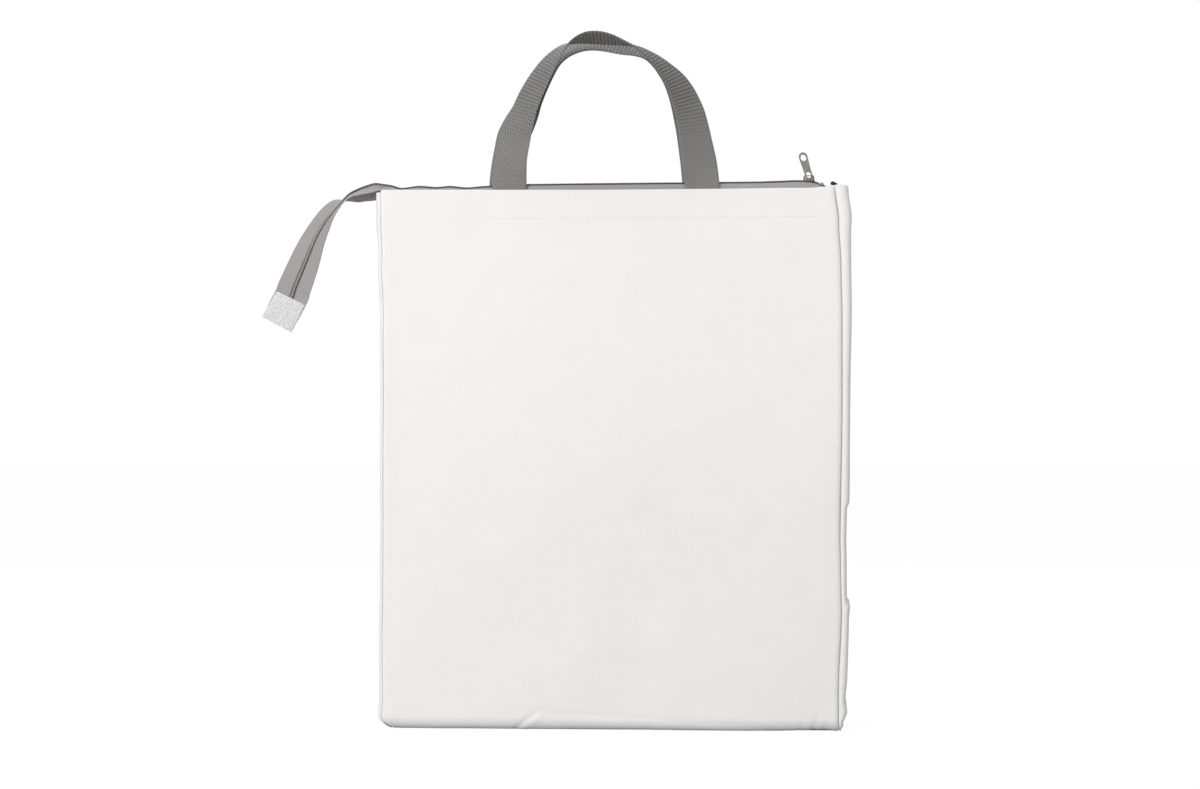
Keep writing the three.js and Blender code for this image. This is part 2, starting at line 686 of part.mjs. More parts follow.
function bailArch() {
  const outerHalf = BAIL_HALF_LENGTH + BAIL_WIRE;
  const outerTop = BAIL_RISE + BAIL_WIRE / 2;
  const innerTop = BAIL_RISE - BAIL_WIRE / 2;
  const foot = -SLIDER_PLATE / 2;
  const arch = new THREE.Shape();
  arch.moveTo(-outerHalf, foot);
  arch.lineTo(-outerHalf, outerTop - BAIL_WIRE);
  arch.lineTo(-BAIL_HALF_LENGTH, outerTop);
  arch.lineTo(BAIL_HALF_LENGTH, outerTop);
  arch.lineTo(outerHalf, outerTop - BAIL_WIRE);
  arch.lineTo(outerHalf, foot);
  arch.lineTo(BAIL_HALF_LENGTH, foot);
  arch.lineTo(BAIL_HALF_LENGTH, innerTop);
  arch.lineTo(-BAIL_HALF_LENGTH, innerTop);
  arch.lineTo(-BAIL_HALF_LENGTH, foot);
  const geometry = new THREE.ExtrudeGeometry(arch, { depth: BAIL_WIRE, bevelEnabled: false });
  geometry.translate(0, 0, -BAIL_WIRE / 2);
  geometry.rotateX(Math.PI / 2);
  return geometry.translate(SLIDER_X, 0, PLATE_HIGH);
}

function sliderBody() {
  const postEnd = SLIDER_X + SLIDER_LENGTH / 2 - SLIDER_PLATE;
  const post = boxBetween(
    new THREE.Vector3(postEnd - SLIDER_POST_LENGTH, -SLIDER_POST / 2, KEEL_HIGH - SLIDER_PLATE / 2),
    new THREE.Vector3(postEnd, SLIDER_POST / 2, PLATE_LOW + SLIDER_PLATE / 2),
  );
  const plate = plateFrom(SLIDER_WIDTH / 2, PLATE_LOW);
  const keel = plateFrom(SLIDER_KEEL_WIDTH / 2, KEEL_HIGH - SLIDER_PLATE);
  return joined(plate, keel, post, bailArch());
}
addPiece("slider_body", sliderBody(), METAL);

// Puller: a flat tab whose eye goes round the bail; its foot is round about the bail, so that it can swing
function pullerTab() {
  const footRadius = BAIL_RISE - GAP;
  const topHalf = PULLER_TOP_WIDTH / 2;
  const eyeLow = -(footRadius - PULLER_EYE_RIM);
  const outline = new THREE.Shape();
  outline.absarc(0, 0, footRadius, Math.PI, 2 * Math.PI, false);
  outline.lineTo(footRadius, PULLER_NECK_LENGTH);
  outline.lineTo(topHalf, PULLER_LENGTH - topHalf);
  outline.absarc(0, PULLER_LENGTH - topHalf, topHalf, 0, Math.PI, false);
  outline.lineTo(-footRadius, PULLER_NECK_LENGTH);
  const eye = new THREE.Path();
  const eyeMiddle = eyeLow + PULLER_EYE_LENGTH / 2;
  eye.absellipse(0, eyeMiddle, PULLER_EYE_WIDTH / 2, PULLER_EYE_LENGTH / 2, 0, 2 * Math.PI, true);
  const hole = new THREE.Path();
  const holeMiddle = PULLER_LENGTH - PULLER_HOLE_RIM - PULLER_HOLE / 2;
  hole.absarc(0, holeMiddle, PULLER_HOLE / 2, 0, 2 * Math.PI, true);
  outline.holes.push(eye, hole);
  const options = { depth: PULLER_THICKNESS, bevelEnabled: false, curveSegments: 8 };
  return new THREE.ExtrudeGeometry(outline, options).translate(0, 0, -PULLER_THICKNESS / 2);
}
const puller = addPiece("slider_puller", pullerTab(), METAL);
const pullerLength = new THREE.Vector3(-Math.sin(PULLER_LEAN), 0, Math.cos(PULLER_LEAN));
const pullerSide = new THREE.Vector3(Math.cos(PULLER_LEAN), 0, Math.sin(PULLER_LEAN));
pullerSide.multiplyScalar(Math.sin(PULLER_TWIST)).y = Math.cos(PULLER_TWIST);
const pullerFace = new THREE.Vector3().crossVectors(pullerSide, pullerLength);
puller.setRotationFromMatrix(new THREE.Matrix4().makeBasis(pullerSide, pullerLength, pullerFace));
puller.position.set(SLIDER_X, 0, BAIL_Z);

// Zip tail: shares of its reach and drop along the middle of the coil, from the corner to the tab's end
const tailShares = [
  [0, 0],
  [0.08, 0],
  [0.16, 0.008],
  [0.235, 0.022],
  [0.318, 0.052],
  [0.373, 0.088],
  [0.425, 0.13],
  [0.5, 0.197],
  [0.578, 0.276],
  [0.658, 0.388],
  [0.752, 0.561],
  [0.845, 0.735],
  [0.882, 0.797],
  [1, 1],
];
const unfoldShares = [0, 0, 0.08, 0.26, 0.48, 0.64, 0.78, 0.9, 1, 1, 1, 1];
const TAIL_START_X = ZIP_LEFT - TAIL_START_GAP;
const tailPoints = tailShares.map(([xShare, zShare]) => {
  const x = TAIL_START_X - TAIL_REACH * xShare;
  const y = -TAIL_FORWARD * xShare ** 2;
  return new THREE.Vector3(x, y, RIDGE_Z - TAIL_DROP * zShare);
});
const tailPath = new THREE.CatmullRomCurve3(tailPoints, false, "centripetal");
const tailLength = tailPath.getLength();
const TAB_SHARE = 1 - TAB_LENGTH / tailLength;
const TAIL_STEPS = 26;

// The tail's directions at a share of its length: along it, to the bag's side of it, and to the front.
function tailFrame(share) {
  const along = tailPath.getTangentAt(share);
  const inward = new THREE.Vector3(-along.z, 0, along.x).normalize();
  const forward = new THREE.Vector3().crossVectors(along, inward).normalize();
  const turned = (angle) =>
    inward.clone().multiplyScalar(Math.cos(angle)).addScaledVector(forward, Math.sin(angle));
  return { point: tailPath.getPointAt(share), along, turned };
}

const tailStations = (fromShare, toShare, stationAt) =>
  Array.from({ length: TAIL_STEPS + 1 }, (_, i) => stationAt(fromShare + ((toShare - fromShare) * i) / TAIL_STEPS));

// A half of the tape hangs from its side of the coil at the corner, and lies flat with it lower down.
function tailTape(side) {
  const fullWidth = ZIP_WIDTH / 2 - TAPE_EDGE_Y;
  const foldedTurn = side * TAIL_TURN;
  const flatTurn = side > 0 ? 0 : -Math.PI;
  const end = 1 - (TAB_LENGTH * (1 - TAB_HOLD_SHARE)) / tailLength;
  const rings = tailStations(0, end, (share) => {
    const { point, along, turned } = tailFrame(share);
    const unfold = tableAt(unfoldShares, share);
    const across = turned(foldedTurn + (flatTurn - foldedTurn) * unfold);
    const through = new THREE.Vector3().crossVectors(along, across).normalize();
    const edge = turned((Math.PI / 2) * (1 - unfold)).multiplyScalar(side * TAPE_EDGE_Y);
    const near = point.clone().add(edge);
    const widening = (share * tailLength - TAIL_NECK) / TAIL_NECK;
    const widthShare = TAIL_NECK_SHARE + (1 - TAIL_NECK_SHARE) * THREE.MathUtils.clamp(widening, 0, 1);
    const width = fullWidth * widthShare;
    const corner = (reach, lift) =>
      near.clone().addScaledVector(across, reach).addScaledVector(through, (lift * TAPE) / 2);
    return [corner(0, -1), corner(width, -1), corner(width, 1), corner(0, 1)];
  });
  return skinRings(rings);
}
addPiece("tail_tape_front", tailTape(1), TAPE_GREY);
addPiece("tail_tape_back", tailTape(-1), TAPE_GREY);

// The coil thins to a tongue where it bends over the corner, next to the end of the bag's own coils.
function tailCoil() {
  const stations = tailStations(0, TAB_SHARE - GAP / tailLength, (share) => {
    const { point, along, turned } = tailFrame(share);
    const across = turned((Math.PI / 2) * (1 - tableAt(unfoldShares, share)));
    const through = new THREE.Vector3().crossVectors(along, across).normalize();
    return { middle: point, across, through };
  });
  const tip = { ...stations[0], middle: new THREE.Vector3(ZIP_LEFT - GAP, 0, RIDGE_Z), thinShare: TAIL_TIP_SHARE };
  return band([tip, ...stations], 2 * COIL_OUT, COIL_HEIGHT);
}
addPiece("tail_coil", tailCoil(), COIL_GREY);

// End tab: cloth folded round the end of the tapes
function endTab() {
  const stationAt = (share) => {
    const { point, along, turned } = tailFrame(Math.min(share, 1));
    const across = turned(0);
    const middle = point.addScaledVector(along, Math.max(0, share - 1) * tailLength);
    return { middle, across, through: new THREE.Vector3().crossVectors(along, across).normalize() };
  };
  const holdEnd = 1 - (TAB_LENGTH * (1 - TAB_HOLD_SHARE) - GAP) / tailLength;
  const pocket = TAPE + 2 * GAP;
  const body = band(tailStations(TAB_SHARE, 1, stationAt), ZIP_WIDTH, pocket + 2 * TAB_PLY);
  const slot = band(tailStations(TAB_SHARE - GAP / tailLength, holdEnd, stationAt), ZIP_WIDTH + 2 * GAP, pocket);
  return cut(body, slot);
}
addPiece("tail_end_tab", endTab(), CLOTH);

export default bag;
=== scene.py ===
"""Insulated shopping bag: cloth walls, webbing handles, a zip with its slider, and a tail with its end tab."""

import json
import math

import bpy
from bpy.props import FloatProperty, FloatVectorProperty, PointerProperty
from mathutils import Matrix, Vector, noise

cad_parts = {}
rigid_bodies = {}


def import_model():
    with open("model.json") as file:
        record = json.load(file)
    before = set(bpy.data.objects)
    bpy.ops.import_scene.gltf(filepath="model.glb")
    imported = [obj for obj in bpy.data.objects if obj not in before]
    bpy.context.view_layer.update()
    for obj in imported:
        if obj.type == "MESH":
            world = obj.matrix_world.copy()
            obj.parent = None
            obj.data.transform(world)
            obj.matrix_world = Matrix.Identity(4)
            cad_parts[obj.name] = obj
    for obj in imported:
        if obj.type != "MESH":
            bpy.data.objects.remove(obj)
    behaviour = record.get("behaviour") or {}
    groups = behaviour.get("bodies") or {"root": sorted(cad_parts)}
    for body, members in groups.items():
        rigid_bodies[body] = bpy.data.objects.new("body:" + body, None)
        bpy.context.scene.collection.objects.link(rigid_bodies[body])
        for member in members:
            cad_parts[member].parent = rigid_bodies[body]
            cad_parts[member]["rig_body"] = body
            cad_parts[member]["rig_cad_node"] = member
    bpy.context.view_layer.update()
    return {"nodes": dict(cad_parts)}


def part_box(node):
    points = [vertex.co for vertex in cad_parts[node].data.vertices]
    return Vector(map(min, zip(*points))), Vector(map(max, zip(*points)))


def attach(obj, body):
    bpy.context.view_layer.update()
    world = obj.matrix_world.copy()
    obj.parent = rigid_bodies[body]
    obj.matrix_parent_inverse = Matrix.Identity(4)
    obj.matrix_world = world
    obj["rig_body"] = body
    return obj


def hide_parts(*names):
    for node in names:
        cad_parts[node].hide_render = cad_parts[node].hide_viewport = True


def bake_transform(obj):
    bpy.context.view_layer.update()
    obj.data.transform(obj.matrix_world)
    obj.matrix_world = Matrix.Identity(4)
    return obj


bl_info = {
    "name": "Insulated Shopping Bag",
    "version": (1, 0, 0),
    "blender": (4, 5, 0),
    "location": "View3D > Sidebar > Bag",
    "description": "Models an insulated shopping bag of white cloth with grey webbing handles and a zip",
    "category": "Add Mesh",
}

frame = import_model()

MM = 0.001


def node_box(name):
    """Lowest and highest corner of a node of the frame, in millimetres."""
    return [Vector(corner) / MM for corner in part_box(name)]


# Sizes of the frame, in millimetres
PANEL_LOW, PANEL_HIGH = node_box("outer_front_panel")
HALF_WIDTH = PANEL_HIGH.x
BAG_HEIGHT = PANEL_HIGH.z
HALF_DEPTH = -PANEL_LOW.y
COIL_LOW, COIL_HIGH = (corner.z for corner in node_box("zip_coil_front"))
RIDGE_Z = (COIL_LOW + COIL_HIGH) / 2
ZIP_LEFT, ZIP_RIGHT = (corner.x for corner in node_box("zip_coil_front"))
# The walls stand upright up to this height, and lean in to half of this depth at the closed rim
UPRIGHT_HEIGHT = 150.0
CLOSED_HALF = 10.0
# Radius of the roll under the base, of the rolls at the sides' seams, and of the crease down a side's middle
BASE_ROLL = 9.0
SIDE_ROLL = 4.5
CREASE_RADIUS = 1.0
SIDE_TOP_DROP = 1.0
# Thickness of the plies, with a gap between each two
CLOTH = 0.6
FOAM = 2.0
FOIL = 0.4
GAP = 0.3
WALL = CLOTH + FOAM + FOIL + 2 * GAP
# A handle's foot stands this far from the bag's middle, and its sewn end reaches this far below the rim
STRAP_Y = 5.3
STRAP_END = 42.0
# How far the coil reaches out from the zip's middle
COIL_OUT = 2.0


def linear(code, alpha=1.0):
    """Linear colour of an sRGB hex value."""
    parts = [int(code[i : i + 2], 16) / 255 for i in (0, 2, 4)]
    return (*[c / 12.92 if c <= 0.04045 else ((c + 0.055) / 1.055) ** 2.4 for c in parts], alpha)


def colour(name, code, description):
    return FloatVectorProperty(
        name=name, description=description, subtype="COLOR", size=4, min=0, max=1, default=linear(code)
    )


def millimetres(name, value, description):
    given = {"name": name, "description": description, "default": value * MM}
    return FloatProperty(**given, min=0, unit="LENGTH", precision=5)


class BagClothSizes(bpy.types.PropertyGroup):
    emboss: millimetres("Emboss pitch", 3.4, "Distance between the pressed points of the cloth")
    hem: millimetres("Hem", 21, "Height of the hem below the rim")
    stitch_pitch: millimetres("Stitch pitch", 5.5, "Distance from one hem stitch to the next")
    white: colour("Cloth", "F7F6F4", "White of the non-woven cloth")
    # Painted shade: the tab is the same cloth as the walls, painted greyer for the shade in its creases
    tab: colour("Tab cloth", "E4E4E4", "White of the end tab, which is creased all over")
    thread: colour("Thread", "ECEBE9", "White of the sewing thread")
    seam: colour("Seam thread", "B4B3B1", "Grey of the seam at the right side, which lies in its own shadow")
    foam: colour("Foam", "F4F4F0", "White of the foam")
    # Painted shade: the foam is painted darker in its cells
    foam_cell_shade: colour("Foam cells", "DCDCD6", "White of the foam deep in its cells")
    film: colour("Film", "CDD0D3", "Silver of the lining")


class BagHandleSizes(bpy.types.PropertyGroup):
    width: millimetres("Width", 25, "Width of the webbing")
    thickness: millimetres("Thickness", 1.6, "Thickness of the webbing")
    rib_pitch: millimetres("Rib pitch", 2.6, "Distance between the ribs across the webbing")
    rib_height: millimetres("Rib height", 0.26, "How far a rib stands out of the webbing")
    grey: colour("Webbing", "898786", "Grey of the webbing")


class BagZipSizes(bpy.types.PropertyGroup):
    pitch: millimetres("Tooth pitch", 1.25, "Distance between two teeth of the same coil")
    width: millimetres("Width", 24.6, "Width over both tapes")
    tape: millimetres("Tape", 0.6, "Thickness of the tape")
    grey: colour("Tape", "A9A5A4", "Grey of the tapes")
    # Painted shade: the tape ends in the corners are painted dark for the shade of the hollows they lie in
    fold: colour("Folded tape", "2A2828", "Dark grey of the tape ends tucked in at the corners")
    coil: colour("Coil", "5E5B5B", "Grey of the coils")
    face: colour("Chain face", "A8A4A3", "Grey of the coil's plain face on the tail")
    metal: colour("Metal", "868381", "Plating of the puller and the end stop")
    paint: colour("Slider", "787573", "Enamel of the slider")


class BagStageSizes(bpy.types.PropertyGroup):
    azimuth: FloatProperty(
        name="Azimuth", description="Camera's turn to the right", subtype="ANGLE", default=math.radians(4.5)
    )
    distance: FloatProperty(name="Distance", description="Camera to bag", default=2.028, min=0.5, unit="LENGTH")
    lens: FloatProperty(name="Lens", description="Focal length", default=85, min=20, unit="CAMERA")
    floor: colour("Floor", "FFFFFF", "White of the floor")


# Small tools


def only(piece):
    bpy.ops.object.select_all(action="DESELECT")
    piece.select_set(True)
    bpy.context.view_layer.objects.active = piece


def apply_modifier(piece, kind, **settings):
    only(piece)
    modifier = piece.modifiers.new(kind.title(), kind)
    for key, value in settings.items():
        setattr(modifier, key, value)
    bpy.ops.object.modifier_apply(modifier=modifier.name)


def in_edit_mode(piece, *steps):
    """Runs edit-mode operators, each a pair of an operator and its settings, on the whole mesh."""
    only(piece)
    bpy.ops.object.mode_set(mode="EDIT")
    bpy.ops.mesh.select_all(action="SELECT")
    for operator, settings in steps:
        operator(**settings)
    bpy.ops.object.mode_set(mode="OBJECT")


def add_mesh(operator, **settings):
    """A new mesh, with nothing else selected."""
    bpy.ops.object.select_all(action="DESELECT")
    operator(**settings)
    return bpy.context.object


def surface(name, columns, rows, place, spread, thickness=0.0, side=-1):
    """A grid laid out by place(s, t), with a UV map of the spread and any thickness, all in millimetres."""
    grid = {"x_subdivisions": columns, "y_subdivisions": rows, "size": 1, "calc_uvs": True}
    piece = add_mesh(bpy.ops.mesh.primitive_grid_add, **grid)
    piece.name = name
    piece.data.name = name
    mesh = piece.data
    shares = [(v.co.x + 0.5, v.co.y + 0.5) for v in mesh.vertices]
    for vertex, (s, t) in zip(mesh.vertices, shares):
        vertex.co = Vector(place(s, t)) * MM
    uv = mesh.uv_layers.active.data
    for loop in mesh.loops:
        s, t = shares[loop.vertex_index]
        uv[loop.index].uv = (s * spread[0] * MM, t * spread[1] * MM)
    if thickness:
        apply_modifier(piece, "SOLIDIFY", thickness=thickness * MM, offset=side)
    return piece


def sleeve(name, around, along, place, spread):
    """A closed body whose section runs round with s and whose length runs with t."""
    piece = surface(name, around, along, place, spread)
    in_edit_mode(
        piece,
        (bpy.ops.mesh.remove_doubles, {"threshold": 1e-6}),
        (bpy.ops.mesh.fill_holes, {"sides": 0}),
        (bpy.ops.mesh.normals_make_consistent, {"inside": False}),
    )
    return piece


def join(pieces, name):
    bpy.ops.object.select_all(action="DESELECT")
    for piece in pieces:
        piece.select_set(True)
    bpy.context.view_layer.objects.active = pieces[0]
    bpy.ops.object.join()
    pieces[0].name = name
    pieces[0].data.name = name
    return pieces[0]


def twin_of(piece):
    twin = piece.copy()
    twin.data = piece.data.copy()
    bpy.context.collection.objects.link(twin)
    return twin


def copies_along(piece, places, name):
    """One mesh of a small piece repeated at the given matrices, which are in metres."""
    twins = [twin_of(piece) for _ in places]
    for twin, matrix in zip(twins, places):
        twin.data.transform(matrix)
    bpy.data.objects.remove(piece)
    return join(twins, name)


def block(low, high, edge, segments, narrow_y=1.0, narrow_z=1.0):
    """A box with rounded edges between two corners in millimetres, narrower in x behind or at its top."""
    piece = add_mesh(bpy.ops.mesh.primitive_cube_add, size=1)
    middle, size = (Vector(low) + Vector(high)) / 2, Vector(high) - Vector(low)
    for vertex in piece.data.vertices:
        x, y, z = vertex.co
        x *= (narrow_y if y > 0 else 1.0) * (narrow_z if z > 0 else 1.0)
        vertex.co = (middle + Vector((x * size.x, y * size.y, z * size.z))) * MM
    in_edit_mode(piece, (bpy.ops.mesh.bevel, {"offset": edge * MM, "segments": segments, "affect": "EDGES"}))
    return piece


def settle(piece, material, body, nodes=(), angle=40):
    """The last touches of a piece: shading, material, body and the nodes that it stands for."""
    only(piece)
    bpy.ops.object.transform_apply(location=True, rotation=True, scale=True)
    bpy.ops.object.shade_smooth_by_angle(angle=math.radians(angle))
    piece.data.materials.clear()
    piece.data.materials.append(MATERIALS[material])
    if body:
        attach(piece, body)
    if nodes:
        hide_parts(*nodes)
    return piece


def rough(*place):
    """A smooth random value at a place, from about -1 to 1."""
    return noise.noise(Vector(place))


def share_of(value):
    """The value, kept between none and all."""
    return min(1.0, max(0.0, value))


def hump(distance, width):
    """A rounded hump, 1 at no distance."""
    return math.exp(-((distance / width) ** 2))


def curve_at(pairs, x):
    """A value of a table of (place, value) pairs, eased from one entry to the next."""
    if x <= pairs[0][0]:
        return pairs[0][1]
    for (x0, y0), (x1, y1) in zip(pairs, pairs[1:]):
        if x <= x1:
            share = (x - x0) / (x1 - x0)
            return y0 + (y1 - y0) * share * share * (3 - 2 * share)
    return pairs[-1][1]


def with_neighbours(line):
    """Each row of a line, with the row before it and the row after it."""
    return zip(line, [line[0], *line], [*line[1:], line[-1]])


def route(rows, count):
    """A smooth run through rows of numbers, the first three a place, as count + 1 rows with equal steps."""
    padded = [rows[0], *rows, rows[-1]]
    fine = []
    steps = 24
    for i in range(len(rows) - 1):
        a, b, c, d = padded[i : i + 4]
        for k in range(steps):
            t = k / steps
            fine.append(
                [
                    q + 0.5 * t * (r - p + t * (2 * p - 5 * q + 4 * r - s + t * (3 * (q - r) + s - p)))
                    for p, q, r, s in zip(a, b, c, d)
                ]
            )
    fine.append(list(rows[-1]))
    reach = [0.0]
    for a, b in zip(fine, fine[1:]):
        reach.append(reach[-1] + math.dist(a[:3], b[:3]))
    out = []
    j = 0
    for i in range(count + 1):
        goal = reach[-1] * i / count
        while j < len(reach) - 2 and reach[j + 1] < goal:
            j += 1
        share = (goal - reach[j]) / max(reach[j + 1] - reach[j], 1e-9)
        out.append([p + (q - p) * share for p, q in zip(fine[j], fine[j + 1])])
    return out, reach[-1]


# Materials


def shade(colour_value, factor=1.0):
    """A colour made darker or lighter by a factor."""
    return (*[min(c * factor, 1.0) for c in colour_value[:3]], 1.0)


def set_inputs(tree, node, inputs):
    for socket, value in inputs.items():
        if isinstance(value, bpy.types.NodeSocket):
            tree.links.new(value, node.inputs[socket])
        else:
            node.inputs[socket].default_value = value


def add_node(tree, kind, inputs, out=0, **settings):
    """Adds a node with its settings and links, and gives one of its outputs."""
    node = tree.nodes.new(f"ShaderNode{kind}")
    for key, value in settings.items():
        setattr(node, key, value)
    set_inputs(tree, node, inputs)
    return node.outputs[out]


def new_material(name, finish, *details):
    """A material whose finish, given the node tree, says what goes into the shader's own sockets."""
    material = bpy.data.materials.new(name)
    material.use_nodes = True
    tree = material.node_tree
    set_inputs(tree, tree.nodes["Principled BSDF"], finish(tree, *details))
    return material


def cloth_place(tree):
    """The place on a piece's own UV map, whole, across and along, in metres."""
    uv = add_node(tree, "TexCoord", {}, "UV")
    return uv, *[add_node(tree, "SeparateXYZ", {0: uv}, axis) for axis in ("X", "Y")]


def grain(place, size, detail):
    """Inputs of a noise whose grain is about the given size in millimetres."""
    return {"Vector": place, "Scale": 1 / (size * MM), "Detail": detail, "Roughness": 0.6}


def relief(strength, depth, height, **below):
    """Inputs of a bump that is the given millimetres deep, over the bump below it if there is one."""
    return {"Strength": strength, "Distance": depth * MM, "Height": height, **below}


def wave(tree, length, pitch):
    """The cosine of a length, once round for each pitch in metres."""
    turns = add_node(tree, "Math", {0: length, 1: 2 * math.pi / pitch}, operation="MULTIPLY")
    return add_node(tree, "Math", {0: turns}, operation="COSINE")


EASED = {"interpolation_type": "SMOOTHSTEP"}
COLOURS = {"out": 2, "data_type": "RGBA"}


def pressed_cloth(tree, white, emboss, depth=0.35):
    """Spunbond polypropylene, pressed with rows of small points: matt, slightly fibrous and dimpled, with
    painted shade in the dimples.
    """
    uv, across, along = cloth_place(tree)
    rows = {0: wave(tree, across, emboss), 1: wave(tree, along, emboss)}
    points = add_node(tree, "Math", rows, operation="MULTIPLY")
    dents = add_node(tree, "MapRange", {0: points, 1: 0.35, 2: 0.95}, **EASED)
    clouds = add_node(tree, "TexNoise", grain(uv, 26, 2))
    cloudy = add_node(tree, "Math", {0: clouds, 1: 0.4}, operation="MULTIPLY")
    # Painted shade: the pressed points are darker as well as pressed in; the clouds vary the tone at random
    tone = add_node(tree, "Math", {0: dents, 1: 0.45, 2: cloudy}, operation="MULTIPLY_ADD")
    bond = add_node(tree, "Bump", relief(depth, 0.12, dents), invert=True)
    fibres = add_node(tree, "TexNoise", grain(uv, 0.5, 4))
    return {
        "Roughness": 0.82,
        "Sheen Weight": 0.08,
        "Specular IOR Level": 0.25,
        "Base Color": add_node(tree, "Mix", {0: tone, 6: shade(white), 7: shade(white, 0.9)}, **COLOURS),
        "Normal": add_node(tree, "Bump", relief(0.25, 0.06, fibres, Normal=bond)),
    }


def ribbed_webbing(tree, grey, rib):
    """Woven polypropylene: fine slanting dots of the warp and ribs across, with painted shade between the ribs,
    strongest towards the top, painted shade in the hollows of the weave and painted highlights on its raised
    dots.
    """
    uv, across, along = cloth_place(tree)
    slant = add_node(tree, "Math", {0: along, 1: 0.55, 2: across}, operation="MULTIPLY_ADD")
    # The real dots are 1.2 mm apart, too fine for the render, so they are drawn twice as coarse
    rows = {0: wave(tree, slant, 2.4 * MM), 1: wave(tree, along, rib * 0.8)}
    dots = add_node(tree, "Math", rows, operation="MULTIPLY")
    distance = add_node(tree, "Math", {0: along}, operation="ABSOLUTE")
    top = add_node(tree, "MapRange", {0: distance, 1: 120 * MM, 2: 70 * MM, 3: 0.15}, **EASED)
    # Painted shade between the ribs, strongest near the top of the handle
    rib_gap_shade = add_node(tree, "MapRange", {0: wave(tree, along, rib), 1: 0.5, 2: -0.9, 4: 0.75}, **EASED)
    rib_gap_shade = add_node(tree, "Math", {0: rib_gap_shade, 1: top}, operation="MULTIPLY")
    # Painted shade in the hollows of the weave's dots
    pit_shade = add_node(tree, "MapRange", {0: dots, 1: -0.1, 2: -0.9, 4: 0.5}, **EASED)
    deep = add_node(tree, "Math", {0: rib_gap_shade, 1: pit_shade}, operation="MAXIMUM")
    # Painted highlights on the weave's raised dots
    dot_highlight = add_node(tree, "MapRange", {0: dots, 1: 0.1, 2: 0.9, 4: 0.9}, **EASED)
    clouds = add_node(tree, "TexNoise", grain(uv, 14, 2))
    cloudy = add_node(tree, "Math", {0: clouds, 1: 0.3}, operation="MULTIPLY")
    # The webbing's grey, darkened by the painted shade, lightened by the painted highlights and varied at
    # random by the clouds
    tone = shade(grey)
    for share, other in ((deep, shade(grey, 0.4)), (dot_highlight, shade(grey, 1.55)), (cloudy, shade(grey, 0.4))):
        tone = add_node(tree, "Mix", {0: share, 6: tone, 7: other}, **COLOURS)
    weave = add_node(tree, "Bump", relief(0.5, 0.15, dots))
    fibres = add_node(tree, "TexNoise", grain(uv, 0.4, 3))
    fuzz = add_node(tree, "Bump", relief(0.2, 0.05, fibres, Normal=weave))
    return {"Roughness": 0.72, "Specular IOR Level": 0.3, "Base Color": tone, "Normal": fuzz}


def woven_tape(tree, grey):
    """Woven polyester zip tape: close lengthwise cords with a fine slanting twill over them, painted darker
    between the cords as painted shade.
    """
    uv, across, along = cloth_place(tree)
    slant = add_node(tree, "Math", {0: along, 1: across}, operation="ADD")
    twill = add_node(tree, "Math", {0: wave(tree, slant, 0.9 * MM), 1: 0.35}, operation="MULTIPLY")
    cords = wave(tree, across, 1.3 * MM)
    weave = add_node(tree, "Math", {0: cords, 1: 0.4, 2: twill}, operation="MULTIPLY_ADD")
    # Painted shade: the tape is darker where the weave is low, between its cords
    threads = add_node(tree, "MapRange", {0: weave, 1: 0.8, 2: -0.8, 4: 0.5}, **EASED)
    clouds = add_node(tree, "TexNoise", grain(uv, 9, 2))
    tone = add_node(tree, "Math", {0: clouds, 1: 0.125, 2: threads}, operation="MULTIPLY_ADD")
    return {
        "Roughness": 0.7,
        "Sheen Weight": 0.05,
        "Specular IOR Level": 0.3,
        "Base Color": add_node(tree, "Mix", {0: tone, 6: shade(grey), 7: shade(grey, 0.74)}, **COLOURS),
        "Normal": add_node(tree, "Bump", relief(0.4, 0.08, weave)),
    }


def moulded_coil(tree, grey):
    """Extruded polyester coil: smooth and a little glossy, with faint variation from tooth to tooth."""
    spots = add_node(tree, "TexNoise", grain(add_node(tree, "TexCoord", {}, "Object"), 1.2, 2))
    tone = add_node(tree, "Mix", {0: spots, 6: shade(grey), 7: shade(grey, 0.7)}, **COLOURS)
    return {"Roughness": 0.42, "Base Color": tone}


def tumbled_plating(tree, grey):
    """Nickel-plated zinc alloy, tumbled: soft highlights, small scratches and slightly uneven roughness."""
    place = add_node(tree, "TexCoord", {}, "Object")
    smears = add_node(tree, "TexNoise", grain(place, 3, 2))
    scratches = add_node(tree, "TexNoise", grain(place, 0.5, 4))
    return {
        "Metallic": 1.0,
        "Base Color": shade(grey),
        "Roughness": add_node(tree, "MapRange", {0: smears, 1: 0.3, 2: 0.7, 3: 0.26, 4: 0.46}),
        "Normal": add_node(tree, "Bump", relief(0.12, 0.02, scratches)),
    }


def baked_enamel(tree, grey):
    """Zinc die casting under baked enamel: dull, and a little uneven in tone and thickness."""
    smears = add_node(tree, "TexNoise", grain(add_node(tree, "TexCoord", {}, "Object"), 1.5, 3))
    return {
        "Roughness": 0.5,
        "Specular IOR Level": 0.3,
        "Base Color": add_node(tree, "Mix", {0: smears, 6: shade(grey), 7: shade(grey, 0.72)}, **COLOURS),
        "Normal": add_node(tree, "Bump", relief(0.15, 0.03, smears)),
    }


def blown_foam(tree, white, dull):
    """Expanded polyethylene foam: white, matt, with small closed cells, which are painted darker away from
    their middles as painted shade.
    """
    place = add_node(tree, "TexCoord", {}, "Object")
    cells = add_node(tree, "TexVoronoi", {"Vector": place, "Scale": 1 / (1.1 * MM)})
    # Painted shade: darker away from the middle of each cell
    share = add_node(tree, "Math", {0: cells, 1: 0.4}, operation="MULTIPLY")
    return {
        "Roughness": 0.9,
        "Base Color": add_node(tree, "Mix", {0: share, 6: shade(white), 7: shade(dull)}, **COLOURS),
        "Normal": add_node(tree, "Bump", relief(0.4, 0.2, cells)),
    }


